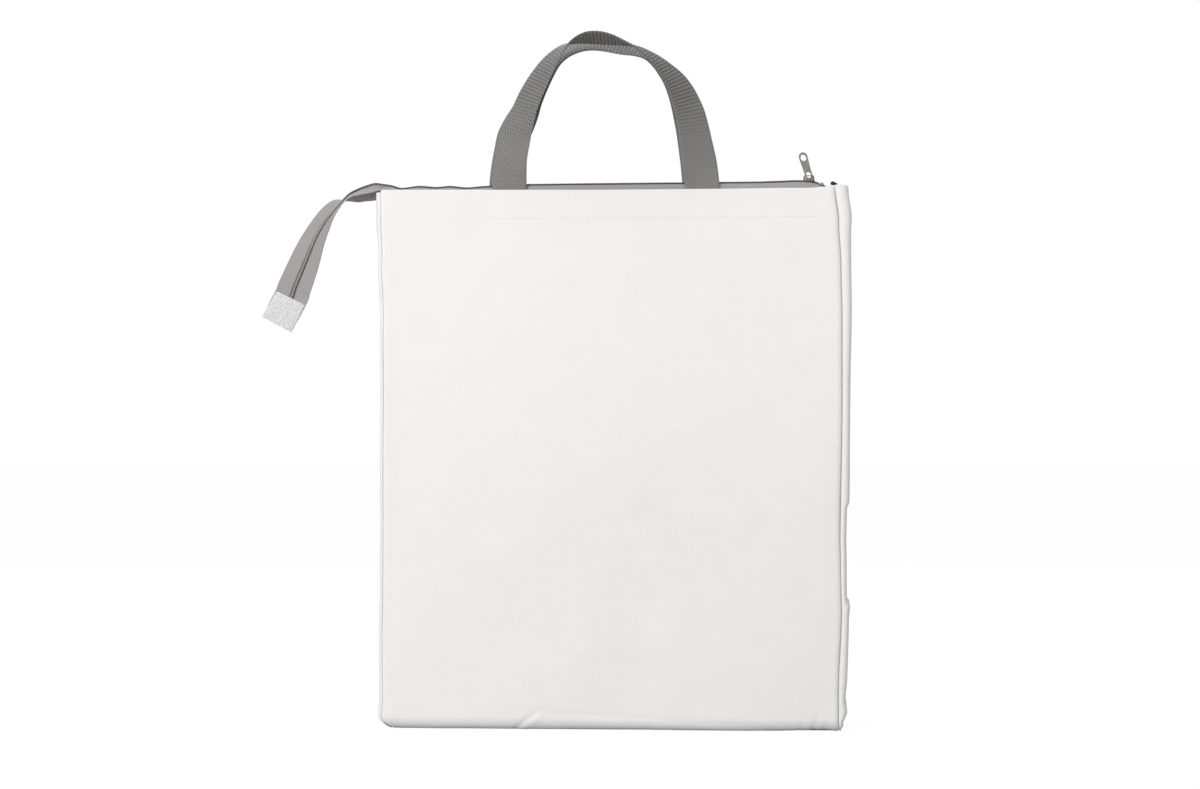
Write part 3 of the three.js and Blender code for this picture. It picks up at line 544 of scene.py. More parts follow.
def laminated_film(tree, silver):
    """Aluminised film laminated to foam: bright, with small random wrinkles."""
    wrinkles = add_node(tree, "TexNoise", grain(add_node(tree, "TexCoord", {}, "Object"), 6, 5))
    return {
        "Metallic": 1.0,
        "Base Color": shade(silver),
        "Roughness": add_node(tree, "MapRange", {0: wrinkles, 1: 0.3, 2: 0.7, 3: 0.18, 4: 0.34}),
        "Normal": add_node(tree, "Bump", relief(0.6, 0.6, wrinkles)),
    }


def twisted_thread(tree, white):
    """Twisted polyester sewing thread: two strands wound round each other, painted darker between them as
    painted shade.
    """
    _, across, along = cloth_place(tree)
    slant = add_node(tree, "Math", {0: across, 1: along}, operation="ADD")
    twist = wave(tree, slant, 0.7 * MM)
    # Painted shade between the strands
    share = add_node(tree, "MapRange", {0: twist, 1: 0.6, 2: -0.8}, **EASED)
    return {
        "Roughness": 0.6,
        "Base Color": add_node(tree, "Mix", {0: share, 6: shade(white), 7: shade(white, 0.8)}, **COLOURS),
        "Normal": add_node(tree, "Bump", relief(0.3, 0.08, twist)),
    }


def painted_floor(tree):
    """Matt white studio paint, a little grey for all but the camera, so that it throws no glare on the bag."""
    return {"Base Color": linear("B0B0B0"), "Roughness": 0.9, "Specular IOR Level": 0.0}


MATERIALS = {}


def make_materials(scene):
    """Makes every material from the colours and sizes of the panel."""
    cloth, handle, chain = scene.bag_cloth, scene.bag_handles, scene.bag_zip
    for key, name, finish, *details in (
        ("cloth", "spunbond_cloth", pressed_cloth, cloth.white, cloth.emboss),
        # The tab's greyer white is painted shade of its creases
        ("tab", "spunbond_tab_cloth", pressed_cloth, cloth.tab, cloth.emboss * 0.8, 1.0),
        ("thread", "sewing_thread", twisted_thread, cloth.thread),
        ("webbing", "ribbed_webbing", ribbed_webbing, handle.grey, handle.rib_pitch),
        # The right seam's thread is painted grey as painted shade of its groove
        ("seam", "seam_thread", twisted_thread, cloth.seam),
        ("tape", "woven_zip_tape", woven_tape, chain.grey),
        # The tucked tape ends are painted dark as painted shade of the corners
        ("fold", "folded_tape_end", woven_tape, chain.fold),
        ("coil", "polyester_coil", moulded_coil, chain.coil),
        ("chain", "polyester_chain_face", moulded_coil, chain.face),
        ("metal", "plated_zinc", tumbled_plating, chain.metal),
        ("paint", "enamelled_zinc", baked_enamel, chain.paint),
        ("foam", "polyethylene_foam", blown_foam, cloth.foam, cloth.foam_cell_shade),
        ("foil", "aluminised_film", laminated_film, cloth.film),
    ):
        MATERIALS[key] = new_material(name, finish, *details)


# Walls: where the seams run, as (height, distance from the nominal edge), out being positive
SEAMS = {
    1: [
        (0, -1.2), (8, -2.3), (30, -2.3), (86, -0.1), (121, -0.7), (136, -1.2), (234, 0.4), (291, 0.4),
        (331, -0.3), (362, -2), (387, -4.6),
    ],
    -1: [
        (0, -9), (2.5, -6), (5.5, -3.4), (9, -2.6), (20, -3.3), (70, -2.9), (92, -3.5), (149, -3.6),
        (235, -3.3), (293, -1.8), (336, 0.5), (370, 2.5), (387, 3.3),
    ],
}
# How far the sides stand out beyond their seams, as (height, distance)
BULGES = {
    1: [
        (0, 0.8), (5, 3.4), (14, 6.5), (22, 5.2), (37, 6.3), (79, 5.6), (89.2, 6.3), (91.6, 4.2), (121, 4.6),
        (157, 4.6), (163, 6.4), (241, 6), (291, 7.2), (331, 7.8), (375, 9.8), (387, 10),
    ],
    -1: [
        (0, 0.5), (8, 2.6), (20, 2.8), (70, 2.4), (89, 2.9), (92, 2.3), (149, 2.4), (235, 2.4), (293, 2.6),
        (336, 2.8), (370, 3.4), (387, 3.7),
    ],
}
# How far the rim stands off its level line, as (x, height)
RIM_WAVE = [
    (-165, 0.3), (-118, 0), (-66, -0.4), (-8, -0.8), (78, -0.7), (126, -0.4), (143, -0.4), (151, 0.2),
    (160, 1.1),
]
# The cloth arches this far over the rim, runs this far down inside, and is rounded this far at its side edges
LIP_RISE = 0.5
HEM_INSIDE = 3.0
PANEL_EDGE = 1.3
# The swells fade out towards the seams and the rim, and the rim's wave towards the walls, over these distances
SEAM_FADE, RIM_FADE, WAVE_FADE = 12, 14, 40
# The line pressed in at the foot of the hem, and how far the hem's double cloth stands out
HEM_LINE_WIDTH, HEM_LINE_DEPTH, HEM_STEP = 0.9, 0.3, 0.15
# The foam and the film end this far below the rim
LINER_TOP_DROP = 0.6
# The last of the wall lies under the base, by this share of the wall's thickness
TURN_UNDER_SHARE = 0.9
# Faint marks across both panels where the bag was folded flat, as heights
FOLD_MARKS = (206, 91)
FOLD_MARK_WIDTH = 2.6
# A slanting crease low on the front: its middle, the cosine and sine of its slope, and its half length
CREASE_X, CREASE_Z = -58, 7
CREASE_COS, CREASE_SIN = 0.81, 0.58
CREASE_REACH = 16
# The groove where the cloth rolls under the base, from one x to the other
ROLL_FROM, ROLL_TO, ROLL_Z, ROLL_SLOPE = -52, 110, 12.5, 0.05
# Small puckers along the bottom of the front, as (x, depth)
PUCKERS = ((138, 0.5), (147, 0.7), (155, 0.45), (-150, 0.4), (30, 0.3))


def half_depth(z):
    """Half depth of the bag at a height, on its outer face."""
    if z < BASE_ROLL:
        return HALF_DEPTH - BASE_ROLL + math.sqrt(max(0.0, BASE_ROLL**2 - (BASE_ROLL - z) ** 2))
    if z < UPRIGHT_HEIGHT:
        return HALF_DEPTH
    lean = (z - UPRIGHT_HEIGHT) / (BAG_HEIGHT - UPRIGHT_HEIGHT)
    return HALF_DEPTH + (CLOSED_HALF - HALF_DEPTH) * lean**2


def seam_x(side, z):
    return side * (HALF_WIDTH + curve_at(SEAMS[side], z))


def swells(x, z, wide, high, layer):
    """Smooth swells of a wall, about the given millimetres wide and high."""
    return rough(x / wide, layer, z / high)


def front_swell(x, z):
    """The soft swells of the front, which the foam and the film share with the cloth."""
    dents = swells(x, z, 48, 70, 6.3) * min(share_of((150 - z) / 60), z / 20)
    return 2.0 * swells(x, z, 110, 130, 3.7) + 0.4 * swells(x, z, 34, 26, 9.1) + dents


def back_swell(x, z):
    return 0.9 * swells(x, z, 120, 120, 23.7) + 0.15 * swells(x, z, 40, 30, 19.1)


def front_relief(x, z):
    """How far the front cloth stands out of its plain face."""
    push = front_swell(x, z)
    for height, depth in zip(FOLD_MARKS, (0.07, 0.09)):
        sway = 3 * rough(x / 60, height, 0)
        push -= depth * hump(z - height - sway, FOLD_MARK_WIDTH)
    crease = (z - CREASE_Z) * CREASE_COS - (x - CREASE_X) * CREASE_SIN
    along = (x - CREASE_X) * CREASE_COS + (z - CREASE_Z) * CREASE_SIN
    if abs(along) < CREASE_REACH:
        fade = math.cos(along / CREASE_REACH * math.pi / 2)
        push += (0.6 * hump(crease + 3, 2.5) - hump(crease, 1.5)) * fade
    if ROLL_FROM < x < ROLL_TO:
        way = (x - ROLL_FROM) / (ROLL_TO - ROLL_FROM)
        groove = hump(z - ROLL_Z + (x - ROLL_FROM) * ROLL_SLOPE, 2.2)
        push -= 0.45 * groove * math.sin(way * math.pi) ** 0.5
    for middle, depth in PUCKERS:
        push -= depth * hump(x - middle - (z - 6) * 0.3, 2.0) * hump(z - 5, 7)
    return push


def back_relief(x, z):
    marks = [depth * hump(z - height, FOLD_MARK_WIDTH) for height, depth in zip(FOLD_MARKS, (0.15, 0.25))]
    return back_swell(x, z) - sum(marks)


def wall_rows(count, inset, full):
    """A wall's profile from under the base to the rim and over it, as (depth, height, outward direction)."""
    rows = [(HALF_DEPTH - BASE_ROLL - WALL * TURN_UNDER_SHARE, 0.0, 0.0)]
    for i in range(7):
        angle = math.pi / 2 * i / 6
        rows.append((HALF_DEPTH - BASE_ROLL * (1 - math.sin(angle)), BASE_ROLL * (1 - math.cos(angle)), 0.0))
    top = BAG_HEIGHT if full else BAG_HEIGHT - LINER_TOP_DROP
    heights = [BASE_ROLL + (top - BASE_ROLL) * i / 29 for i in range(1, 30)]
    rows += [(half_depth(z), z, 0.0) for z in heights]
    if full:
        for i in range(1, 6):
            angle = math.pi * i / 5
            depth = CLOSED_HALF - WALL / 2 * (1 - math.cos(angle))
            rows.append((depth, BAG_HEIGHT + LIP_RISE * math.sin(angle), 0.0))
        rows.append((CLOSED_HALF - WALL, BAG_HEIGHT - HEM_INSIDE, 0.0))
    line, length = route(rows, count)
    out = []
    for (depth, z, _), before, after in with_neighbours(line):
        run = math.dist(before[:2], after[:2])
        out_y, out_z = (after[1] - before[1]) / run, (before[0] - after[0]) / run
        out.append((depth - out_y * inset, z - out_z * inset, out_y, out_z))
    return out, length


def wall_panel(name, side, inset, thickness, columns, rows, push_at, hem=0):
    """A front or back ply, with its edges turned in to the seams."""
    full = inset == 0
    profile, length = wall_rows(rows, inset, full)
    edge = PANEL_EDGE if full else 0.0

    def place(s, t):
        depth, z, out_y, out_z = profile[round(t * rows)]
        left = seam_x(-1, z) + inset
        right = seam_x(1, z) - inset
        x = left + (right - left) * s
        near = min(x - left, right - x)
        push = push_at(x, z) * share_of(near / SEAM_FADE) * share_of((BAG_HEIGHT - z) / RIM_FADE)
        if hem and z < BAG_HEIGHT:
            push -= HEM_LINE_DEPTH * hump(z - (BAG_HEIGHT - hem), HEM_LINE_WIDTH)
            push += HEM_STEP if z > BAG_HEIGHT - hem else 0.0
        if near < edge:
            push -= edge - math.sqrt(max(0.0, edge**2 - (edge - near) ** 2))
        lift = curve_at(RIM_WAVE, x) * share_of((z - BAG_HEIGHT + WAVE_FADE) / WAVE_FADE) if full else 0.0
        return (x, side * (depth + out_y * push), max(z + out_z * push + lift, inset + 0.02))

    piece = surface(name, columns, rows, place, (2 * HALF_WIDTH, length), thickness, side)
    if side > 0:
        in_edit_mode(piece, (bpy.ops.mesh.normals_make_consistent, {"inside": False}))
    return piece


def side_turn(half, fold):
    """How far a side turns in from its roll to its middle crease, and the straight run between them."""
    reach = math.hypot(fold, half - SIDE_ROLL)
    near = min(1.0, (SIDE_ROLL + CREASE_RADIUS) / reach)
    turn = math.atan2(half - SIDE_ROLL, -fold) - math.acos(near)
    return turn, math.sqrt(max(0.0, reach**2 - (SIDE_ROLL + CREASE_RADIUS) ** 2))


def half_side(half, fold):
    """Length of the cloth from a side's seam to its middle."""
    turn, straight = side_turn(half, fold)
    return SIDE_ROLL * (math.pi / 2 + turn) + straight + CREASE_RADIUS * turn


# The fold of a side that lies flat, and the length of its cloth from the seam to the middle
FLAT_FOLD = -(SIDE_ROLL + CREASE_RADIUS)
HALF_SIDE = half_side(HALF_DEPTH, FLAT_FOLD)
# Where round its roll each side comes out of its seam, and how far the right side rises over the left one
SEAM_START = {-1: math.radians(-100), 1: math.radians(-140)}
SIDE_TOP_RISE = 3.4
# The right side's crumpled top: how far it dips away from its seams, how far it crumples, and over what height
CROWN = [(0.04, 0), (0.12, 1.5)]
CROWN_CRUMPLE, CROWN_FADE = 0.4, 12
# How far the sides sway in and out, fading over this height at the base and at the top
SWAY, SWAY_FADE = 0.5, 20
# The base swells in from its borders, over these distances in x and in y
BASE_SWELL, BASE_FADE_X, BASE_FADE_Y = 0.25, 15, 10


def fold_depth(z):
    """How deep the middle of a side folds in, from the length of its cloth."""
    if z <= UPRIGHT_HEIGHT:
        return FLAT_FOLD
    low, high = FLAT_FOLD, HALF_SIDE
    for _ in range(40):
        middle = (low + high) / 2
        if half_side(half_depth(z), middle) < HALF_SIDE:
            low = middle
        else:
            high = middle
    return (low + high) / 2


def side_section(side, z, inset, share):
    """A point of a side's section, from the front seam at 0 to the back one at 1."""
    half = half_depth(z)
    fold = fold_depth(z)
    turn, straight = side_turn(half, fold)
    seam, bulge, begin = abs(seam_x(side, z)), curve_at(BULGES[side], z), SEAM_START[side]
    roll_x = max(bulge / (1 + math.cos(begin + math.pi)), 0.4)
    roll_y = min(SIDE_ROLL, half / 2)
    middle = (seam + bulge - roll_x, roll_y - half)

    def on_roll(angle):
        return middle[0] + (roll_x - inset) * math.cos(angle), middle[1] + (roll_y - inset) * math.sin(angle)

    def on_crease(angle):
        radius = CREASE_RADIUS + inset
        return seam - fold + bulge - SIDE_ROLL - radius * math.cos(angle), -radius * math.sin(angle)

    roll, tuck = SIDE_ROLL * (turn - begin), CREASE_RADIUS * turn
    at = min(share, 1 - share) * 2 * (roll + straight + tuck)
    if at <= roll:
        x, y = on_roll(begin + (turn - begin) * at / roll)
    elif at <= roll + straight:
        start, end = on_roll(turn), on_crease(turn)
        way = (at - roll) / straight
        x, y = (a + (b - a) * way for a, b in zip(start, end))
    else:
        x, y = on_crease(turn * (1 - (at - roll - straight) / max(tuck, 1e-6)))
    return x, (y if share <= 0.5 else -y)


def wall_side(name, side, inset, thickness, columns, rows):
    """A ply of a side. The cloth of the right one has a crumpled crown."""
    cloth = inset == 0
    crowned = cloth and side > 0
    low = 0.0 if cloth else WALL
    high = BAG_HEIGHT - SIDE_TOP_DROP + (SIDE_TOP_RISE if crowned else 0.0)

    def place(s, t):
        z = low + (high - low) * t
        x, y = side_section(side, z, inset, s)
        if crowned:
            crown = curve_at(CROWN, min(s, 1 - s)) + CROWN_CRUMPLE * rough(s * 60, 3, 8)
            z -= crown * max(0.0, 1 - (high - z) / CROWN_FADE)
        if cloth and SWAY_FADE < z < high:
            sway = SWAY * rough(side * 4, y / 26, z / 44)
            x += sway * min(1.0, (z - SWAY_FADE) / SWAY_FADE, (high - z) / SWAY_FADE)
        return (side * x, y, z)

    piece = surface(name, columns, rows, place, (2 * HALF_SIDE, high - low), thickness, -side)
    in_edit_mode(piece, (bpy.ops.mesh.normals_make_consistent, {"inside": False}))
    return piece


def wall_base(name, inset, thickness, columns, rows):
    """A ply of the base, lying inside the turned-in bottoms of the walls."""
    half = HALF_DEPTH - BASE_ROLL - WALL - GAP
    left = seam_x(-1, inset + thickness) + inset + 1
    right = seam_x(1, inset + thickness) - inset - 1

    def place(s, t):
        x = left + (right - left) * s
        y = half * (2 * t - 1)
        rise = BASE_SWELL * (1 + rough(x / 45, y / 30, 5)) if inset == 0 else 0.0
        border = min(1.0, min(x - left, right - x) / BASE_FADE_X, (half - abs(y)) / BASE_FADE_Y)
        return (x, y, inset + thickness + rise * max(0.0, border))

    return surface(name, columns, rows, place, (2 * HALF_WIDTH, 2 * half), thickness)


class BAG_OT_cloth_walls(bpy.types.Operator):
    """Models the cloth of the front and the back, turned under at the bottom and hemmed over the rim"""

    bl_idname = "bag.cloth_walls"
    bl_label = "Cloth Walls"

    def execute(self, context):
        hem = context.scene.bag_cloth.hem / MM
        for piece, node in (
            (wall_panel("front_cloth", -1, 0, CLOTH, 190, 260, front_relief, hem), "outer_front_panel"),
            (wall_panel("back_cloth", 1, 0, CLOTH, 130, 200, back_relief, hem), "outer_back_panel"),
            (wall_base("base_cloth", 0, CLOTH, 80, 24), "outer_base_panel"),
        ):
            settle(piece, "cloth", "bag", [node])
        return {"FINISHED"}


class BAG_OT_cloth_sides(bpy.types.Operator):
    """Models the folded sides, which roll out of the seams and tuck in towards the zip"""

    bl_idname = "bag.cloth_sides"
    bl_label = "Cloth Sides"

    def execute(self, context):
        for side, word in ((-1, "left"), (1, "right")):
            piece = wall_side(f"{word}_side_cloth", side, 0, CLOTH, 72, 200)
            settle(piece, "cloth", "bag", [f"outer_{word}_side"])
        return {"FINISHED"}


class BAG_OT_side_seams(bpy.types.Operator):
    """Models the seam threads where the sides meet the front and the back"""

    bl_idname = "bag.side_seams"
    bl_label = "Side Seams"

    def execute(self, context):
        low, rows, sunk, out = 4, 150, 0.75, 0.15
        # The right seam's thread is painted grey as painted shade of the groove it lies in; the left one keeps
        # the thread's own white
        for side, word, thick, material in ((-1, "left", 0.55, "thread"), (1, "right", 0.25, "seam")):
            seams = []
            for face in (-1, 1):

                def place(s, t, side=side, face=face, thick=thick):
                    z = low + (BAG_HEIGHT - 2 - low) * t
                    angle = 2 * math.pi * s
                    x = seam_x(side, z) + side * out + thick * math.cos(angle)
                    return (x, face * (half_depth(z) - sunk + thick * math.sin(angle)), z)

                seams.append(sleeve("seam", 8, rows, place, (2, BAG_HEIGHT)))
            settle(join(seams, f"{word}_seam_threads"), material, "bag")
        return {"FINISHED"}


# Tape ends tucked in at the corners, painted dark as the shade there, as (x, height, half thickness, half
# depth)
RIGHT_FOLD = [
    (157.4, 390.3, 0.5, 1.5), (158.6, 390.6, 1.4, 2.2), (160.6, 390.2, 1.2, 2.4), (162.8, 389.6, 0.5, 1.4),
]
LEFT_FOLD = [
    (-164.6, 387.4, 0.5, 0.9), (-164.5, 386.6, 0.9, 1.6), (-164.4, 384.8, 0.9, 1.8), (-164.3, 383.4, 0.4, 1),
]


class BAG_OT_corner_folds(bpy.types.Operator):
    """Models the ends of the tape tucked in at both upper corners, painted dark as the shade of the hollow
    corners
    """

    bl_idname = "bag.corner_folds"
    bl_label = "Corner Folds"

    def execute(self, context):
        steps = 16
        folds = []
        for rows, y, upright in ((RIGHT_FOLD, -6.5, 0), (LEFT_FOLD, -5.0, 1)):
            line, _ = route([(x, y, z, thin, deep) for x, z, thin, deep in rows], steps)

            def place(s, t, line=line, upright=upright):
                x, y, z, thin, deep = line[round(t * steps)]
                angle = 2 * math.pi * s
                crinkle = 1 + 0.2 * rough(s * 6, t * 5, 2)
                reach = thin * crinkle * math.cos(angle)
                return (x + reach * upright, y + deep * math.sin(angle), z + reach * (1 - upright))

            folds.append(sleeve("fold", steps, steps, place, (6, 6)))
        settle(join(folds, "corner_fold_tapes"), "fold", "bag", angle=60)
        return {"FINISHED"}


class BAG_OT_lining(bpy.types.Operator):
    """Models the foam and the foil film inside every wall"""

    bl_idname = "bag.lining"
    bl_label = "Foam and Foil"

    def execute(self, context):
        plies = (("foam", "foam", CLOTH + GAP, FOAM), ("liner", "foil", CLOTH + FOAM + 2 * GAP, FOIL))
        for ply, finish, inset, thickness in plies:
            for side, word, swell in ((-1, "front", front_swell), (1, "back", back_swell)):
                piece = wall_panel(f"{word}_{ply}", side, inset, thickness, 60, 90, swell)
                settle(piece, finish, "bag", [f"{ply}_{word}_panel"])
            for side, word in ((-1, "left"), (1, "right")):
                piece = wall_side(f"{word}_{ply}", side, inset, thickness, 36, 50)
                settle(piece, finish, "bag", [f"{ply}_{word}_side"])
            piece = wall_base(f"base_{ply}", inset, thickness, 24, 8)
            settle(piece, finish, "bag", [f"{ply}_base_panel"])
        return {"FINISHED"}


class BAG_OT_hem_stitches(bpy.types.Operator):
    """Models the row of stitches along the hem of the front and the back"""

    bl_idname = "bag.hem_stitches"
    bl_label = "Hem Stitches"

    def execute(self, context):
        sizes = context.scene.bag_cloth
        z = BAG_HEIGHT - sizes.hem / MM
        pitch = sizes.stitch_pitch / MM
        slope = math.atan((half_depth(z - 10) - half_depth(z + 10)) / 20)
        count = int((2 * HALF_WIDTH - 12) / pitch)
        # A stitch lies in the pressed line of the hem, sunk by about its own thickness, and one end dips
        sunk, dip = 0.24, 0.06
        for side, word, relief_at in ((-1, "front", front_relief), (1, "back", back_relief)):
            round_bar = {"vertices": 8, "radius": 0.22 * MM, "depth": pitch * 0.62 * MM}
            stitch = add_mesh(bpy.ops.mesh.primitive_cylinder_add, **round_bar)
            lying = {"value": math.pi / 2, "orient_axis": "Y", "center_override": (0, 0, 0)}
            in_edit_mode(
                stitch,
                (bpy.ops.transform.rotate, lying),
                (bpy.ops.mesh.bevel, {"offset": 0.08 * MM, "segments": 2, "affect": "EDGES"}),
            )
            turn = Matrix.Rotation(side * slope, 4, "X") @ Matrix.Rotation(dip, 4, "Y")
            places = []
            for i in range(count):
                x = (i + 0.5 - count / 2) * pitch
                y = side * (half_depth(z) + relief_at(x, z) - sunk)
                places.append(Matrix.Translation(Vector((x, y, z)) * MM) @ turn)
            piece = copies_along(stitch, places, f"{word}_hem_stitches")
            settle(piece, "thread", "bag", [f"hem_stitching_{word}"])
        return {"FINISHED"}


# Handles: shares of half the span, of the rise and of the turn at the top, from the left foot to the right one
ARCH = [
    (-1, 0, 0), (-0.996, 0.071, 0.03), (-0.991, 0.125, 0.08), (-0.98, 0.207, 0.13), (-0.957, 0.289, 0.15),
    (-0.929, 0.37, 0.17), (-0.881, 0.447, 0.29), (-0.836, 0.525, 0.36), (-0.787, 0.602, 0.39),
    (-0.73, 0.676, 0.42), (-0.666, 0.748, 0.46), (-0.596, 0.818, 0.52), (-0.514, 0.883, 0.6),
    (-0.421, 0.939, 0.71), (-0.306, 0.977, 0.86), (-0.181, 0.996, 0.975), (-0.053, 0.996, 1),
    (0.074, 0.983, 0.96), (0.2, 0.962, 0.87), (0.323, 0.935, 0.79), (0.433, 0.894, 0.73), (0.537, 0.844, 0.67),
    (0.629, 0.785, 0.59), (0.713, 0.722, 0.5), (0.78, 0.652, 0.43), (0.833, 0.576, 0.37), (0.876, 0.498, 0.32),
    (0.906, 0.417, 0.28), (0.93, 0.336, 0.24), (0.953, 0.254, 0.19), (0.974, 0.173, 0.12), (0.991, 0.08, 0.04),
    (1, 0, 0),
]
BACK_ARCH = [
    (-1.051, 0, 0), (-1.047, 0.07, 0.03), (-1.043, 0.124, 0.08), (-1.031, 0.205, 0.13), (-1.009, 0.286, 0.15),
    (-0.98, 0.366, 0.14), (-0.924, 0.443, 0.17), (-0.867, 0.52, 0.25), (-0.819, 0.596, 0.33),
    (-0.761, 0.67, 0.4), (-0.697, 0.741, 0.46), (-0.627, 0.811, 0.52), (-0.546, 0.874, 0.596),
    (-0.453, 0.93, 0.596), (-0.337, 0.968, 0.596), (-0.213, 0.987, 0.596), (-0.084, 0.987, 0.596),
    (0.043, 0.974, 0.596), (0.171, 0.958, 0.596), (0.299, 0.937, 0.66), (0.418, 0.902, 0.72),
    (0.527, 0.852, 0.67), (0.619, 0.791, 0.59), (0.701, 0.725, 0.5), (0.762, 0.651, 0.43), (0.808, 0.573, 0.37),
    (0.844, 0.494, 0.32), (0.874, 0.414, 0.28), (0.899, 0.333, 0.24), (0.921, 0.252, 0.19),
    (0.943, 0.172, 0.12), (0.96, 0.079, 0.04), (0.969, 0, 0),
]
HANDLE_SPAN = 140.0
HANDLE_RISE = 109.0
HANDLE_SHIFT = -4.7
TOP_TURN = math.radians(104)
# The handles' edges stand this far apart over the zip
CENTRE_GAP = 2.5
# Width of the smooth edge of the webbing
SELVEDGE = 2.0
# How strongly the ribs stand out, by the run from the middle of the handle
RIB_FADE = [(70, 1), (120, 0.2)]


def strap_stations(side, arch, width, thickness, count):
    """Middle, direction across and direction through of a strap, with its length."""
    sewn = [BAG_HEIGHT - STRAP_END * share for share in (1, 0.6, 0.25)]
    rows = [(arch[0][0], z, 0.0) for z in sewn]
    rows += [(x, BAG_HEIGHT + GAP + HANDLE_RISE * z, turn) for x, z, turn in arch]
    rows += [(arch[-1][0], z, 0.0) for z in reversed(sewn)]
    line, length = route([(HANDLE_SHIFT + x * HANDLE_SPAN / 2, 0.0, z, turn) for x, z, turn in rows], count)
    top_y = CENTRE_GAP / 2 + width / 2 * math.sin(TOP_TURN) + thickness / 2
    backwards = Vector((0, 1, 0))
    stations = []
    for (x, _, z, share), before, after in with_neighbours(line):
        tangent = Vector((after[0] - before[0], 0, after[2] - before[2])).normalized()
        turn = TOP_TURN * share
        y = STRAP_Y + (top_y - STRAP_Y) * math.sin(turn) / math.sin(TOP_TURN)
        if z < BAG_HEIGHT:
            y = half_depth(z) - WALL - GAP - thickness / 2
        outward = Vector((-tangent.z, 0, tangent.x))
        across = outward * math.cos(turn) + backwards * math.sin(turn)
        through = tangent.cross(across).normalized()
        stations.append((Vector((x, side * y, z)), across, through))
    return stations, length


def on_flat(share):
    """The face of a flat section that a share of its round lies on, and how far across, from -1 to 1."""
    return (1, 4 * share - 1) if share < 0.5 else (-1, 3 - 4 * share)


def strap(name, side, arch, sizes):
    """A ribbed strap with round selvedges, from one sewn end over the arch to the other."""
    width, thickness = sizes.width / MM, sizes.thickness / MM
    pitch, height = sizes.rib_pitch / MM, sizes.rib_height / MM
    around, along = 44, 1200
    stations, length = strap_stations(side, arch, width, thickness, along)

    def place(s, t):
        middle, across, through = stations[round(t * along)]
        face, way = on_flat(s)
        bed = math.sqrt(max(0.0, 1 - abs(way) ** 12))
        inner = share_of(((1 - abs(way)) * width / 2 - SELVEDGE * 0.6) / (SELVEDGE * 0.5))
        run = (t - 0.5) * length
        rib = height * curve_at(RIB_FADE, abs(run)) * (math.cos(2 * math.pi * run / pitch) - 1) * inner
        return middle + across * (way * width / 2) + through * (face * bed * (thickness / 2 + rib))

    piece = sleeve(name, around, along, place, (2 * width, length))
    for loop in piece.data.uv_layers.active.data:
        loop.uv = (loop.uv[0], loop.uv[1] - length / 2 * MM)
    return piece


class BAG_OT_handles(bpy.types.Operator):
    """Models both webbing handles with their sewn ends, bending where they come out of the rim"""

    bl_idname = "bag.handles"
    bl_label = "Handles"

    def execute(self, context):
        for side, word, arch in ((-1, "front", ARCH), (1, "back", BACK_ARCH)):
            piece = strap(f"{word}_strap", side, arch, context.scene.bag_handles)
            nodes = [f"{word}_handle", f"{word}_strap_end_left", f"{word}_strap_end_right"]
            settle(piece, "webbing", None, nodes)
            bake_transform(piece)
        return {"FINISHED"}


# Zip: how far the ridge stands above its straight line, as (x, height)
RIDGE_WAVE = [
    (-174, 2), (-163, 0), (-154, -2.2), (-141, -0.8), (-128, -1.7), (-119, -1), (-106, -2.2), (-92, -1.2),
    (-57, 0), (-9, 0.2), (39, 0.3), (104, 0.5), (120, 0.9), (132, 1.3), (138, 1.2), (143, 0.9), (147, 0.1),
    (151, -1.6), (155, -3.2), (158, -4),
]
TAPE_Y = 3.9
TAPE_TOP_Y = 2.35
SEWN_Y = 6.1
# A tape's section, from its sewn edge inside the wall to the coil, as (y, height, share of the ridge's wave)
TAPE_SECTION = [
    (half_depth(BAG_HEIGHT - 10) - SEWN_Y, BAG_HEIGHT - 10, 0.0),
    (half_depth(BAG_HEIGHT - 5) - SEWN_Y, BAG_HEIGHT - 5, 0.0),
    (TAPE_Y, BAG_HEIGHT - 0.5, 0.1),
    (TAPE_Y - 0.1, BAG_HEIGHT + 1.0, 0.4),
    (TAPE_Y - 0.7, BAG_HEIGHT + 2.4, 0.8),
    (TAPE_TOP_Y, COIL_LOW - 0.2, 1.0),
    (TAPE_TOP_Y - 0.9, COIL_LOW - 0.5, 1.0),
]
# The tapes are trimmed off below the rim from this far out, over this length
TRIM_FROM, TRIM_LENGTH = 118, 40
# A tooth's distance from the zip's middle, its share of the pitch, its width and its height
TOOTH_Y = 0.95
TOOTH_SIZE = (0.66, 2.0, 1.5)


def ridge_at(x):
    return curve_at(RIDGE_WAVE, x)


class BAG_OT_zip_tapes(bpy.types.Operator):
    """Models the two tapes of the zip, sewn inside the rim and waving along the ridge"""

    bl_idname = "bag.zip_tapes"
    bl_label = "Zip Tapes"

    def execute(self, context):
        thickness = context.scene.bag_zip.tape / MM
        rows = 14
        line, length = route([(y, 0.0, z, share) for y, z, share in TAPE_SECTION], rows)
        for side, word in ((-1, "front"), (1, "back")):

            def place(s, t, side=side):
                x = ZIP_LEFT + (ZIP_RIGHT - ZIP_LEFT) * s
                y, _, z, share = line[round(t * rows)]
                if z < BAG_HEIGHT:
                    trim = share_of((abs(x) - TRIM_FROM) / TRIM_LENGTH)
                    z = BAG_HEIGHT - (BAG_HEIGHT - z) * max(0.05, 1 - trim)
                pucker = 0.25 * rough(x / 9, side * 3, 0) * share
                return (x, side * (y + pucker), z + ridge_at(x) * share)

            piece = surface(f"{word}_tape", 240, rows, place, (ZIP_RIGHT - ZIP_LEFT, length), thickness, 0)
            # The cords of the tape run along the zip, so the pattern is turned
            for loop in piece.data.uv_layers.active.data:
                loop.uv = (loop.uv[1], loop.uv[0])
            settle(piece, "tape", "bag", [f"zip_tape_{word}"], 60)
        return {"FINISHED"}


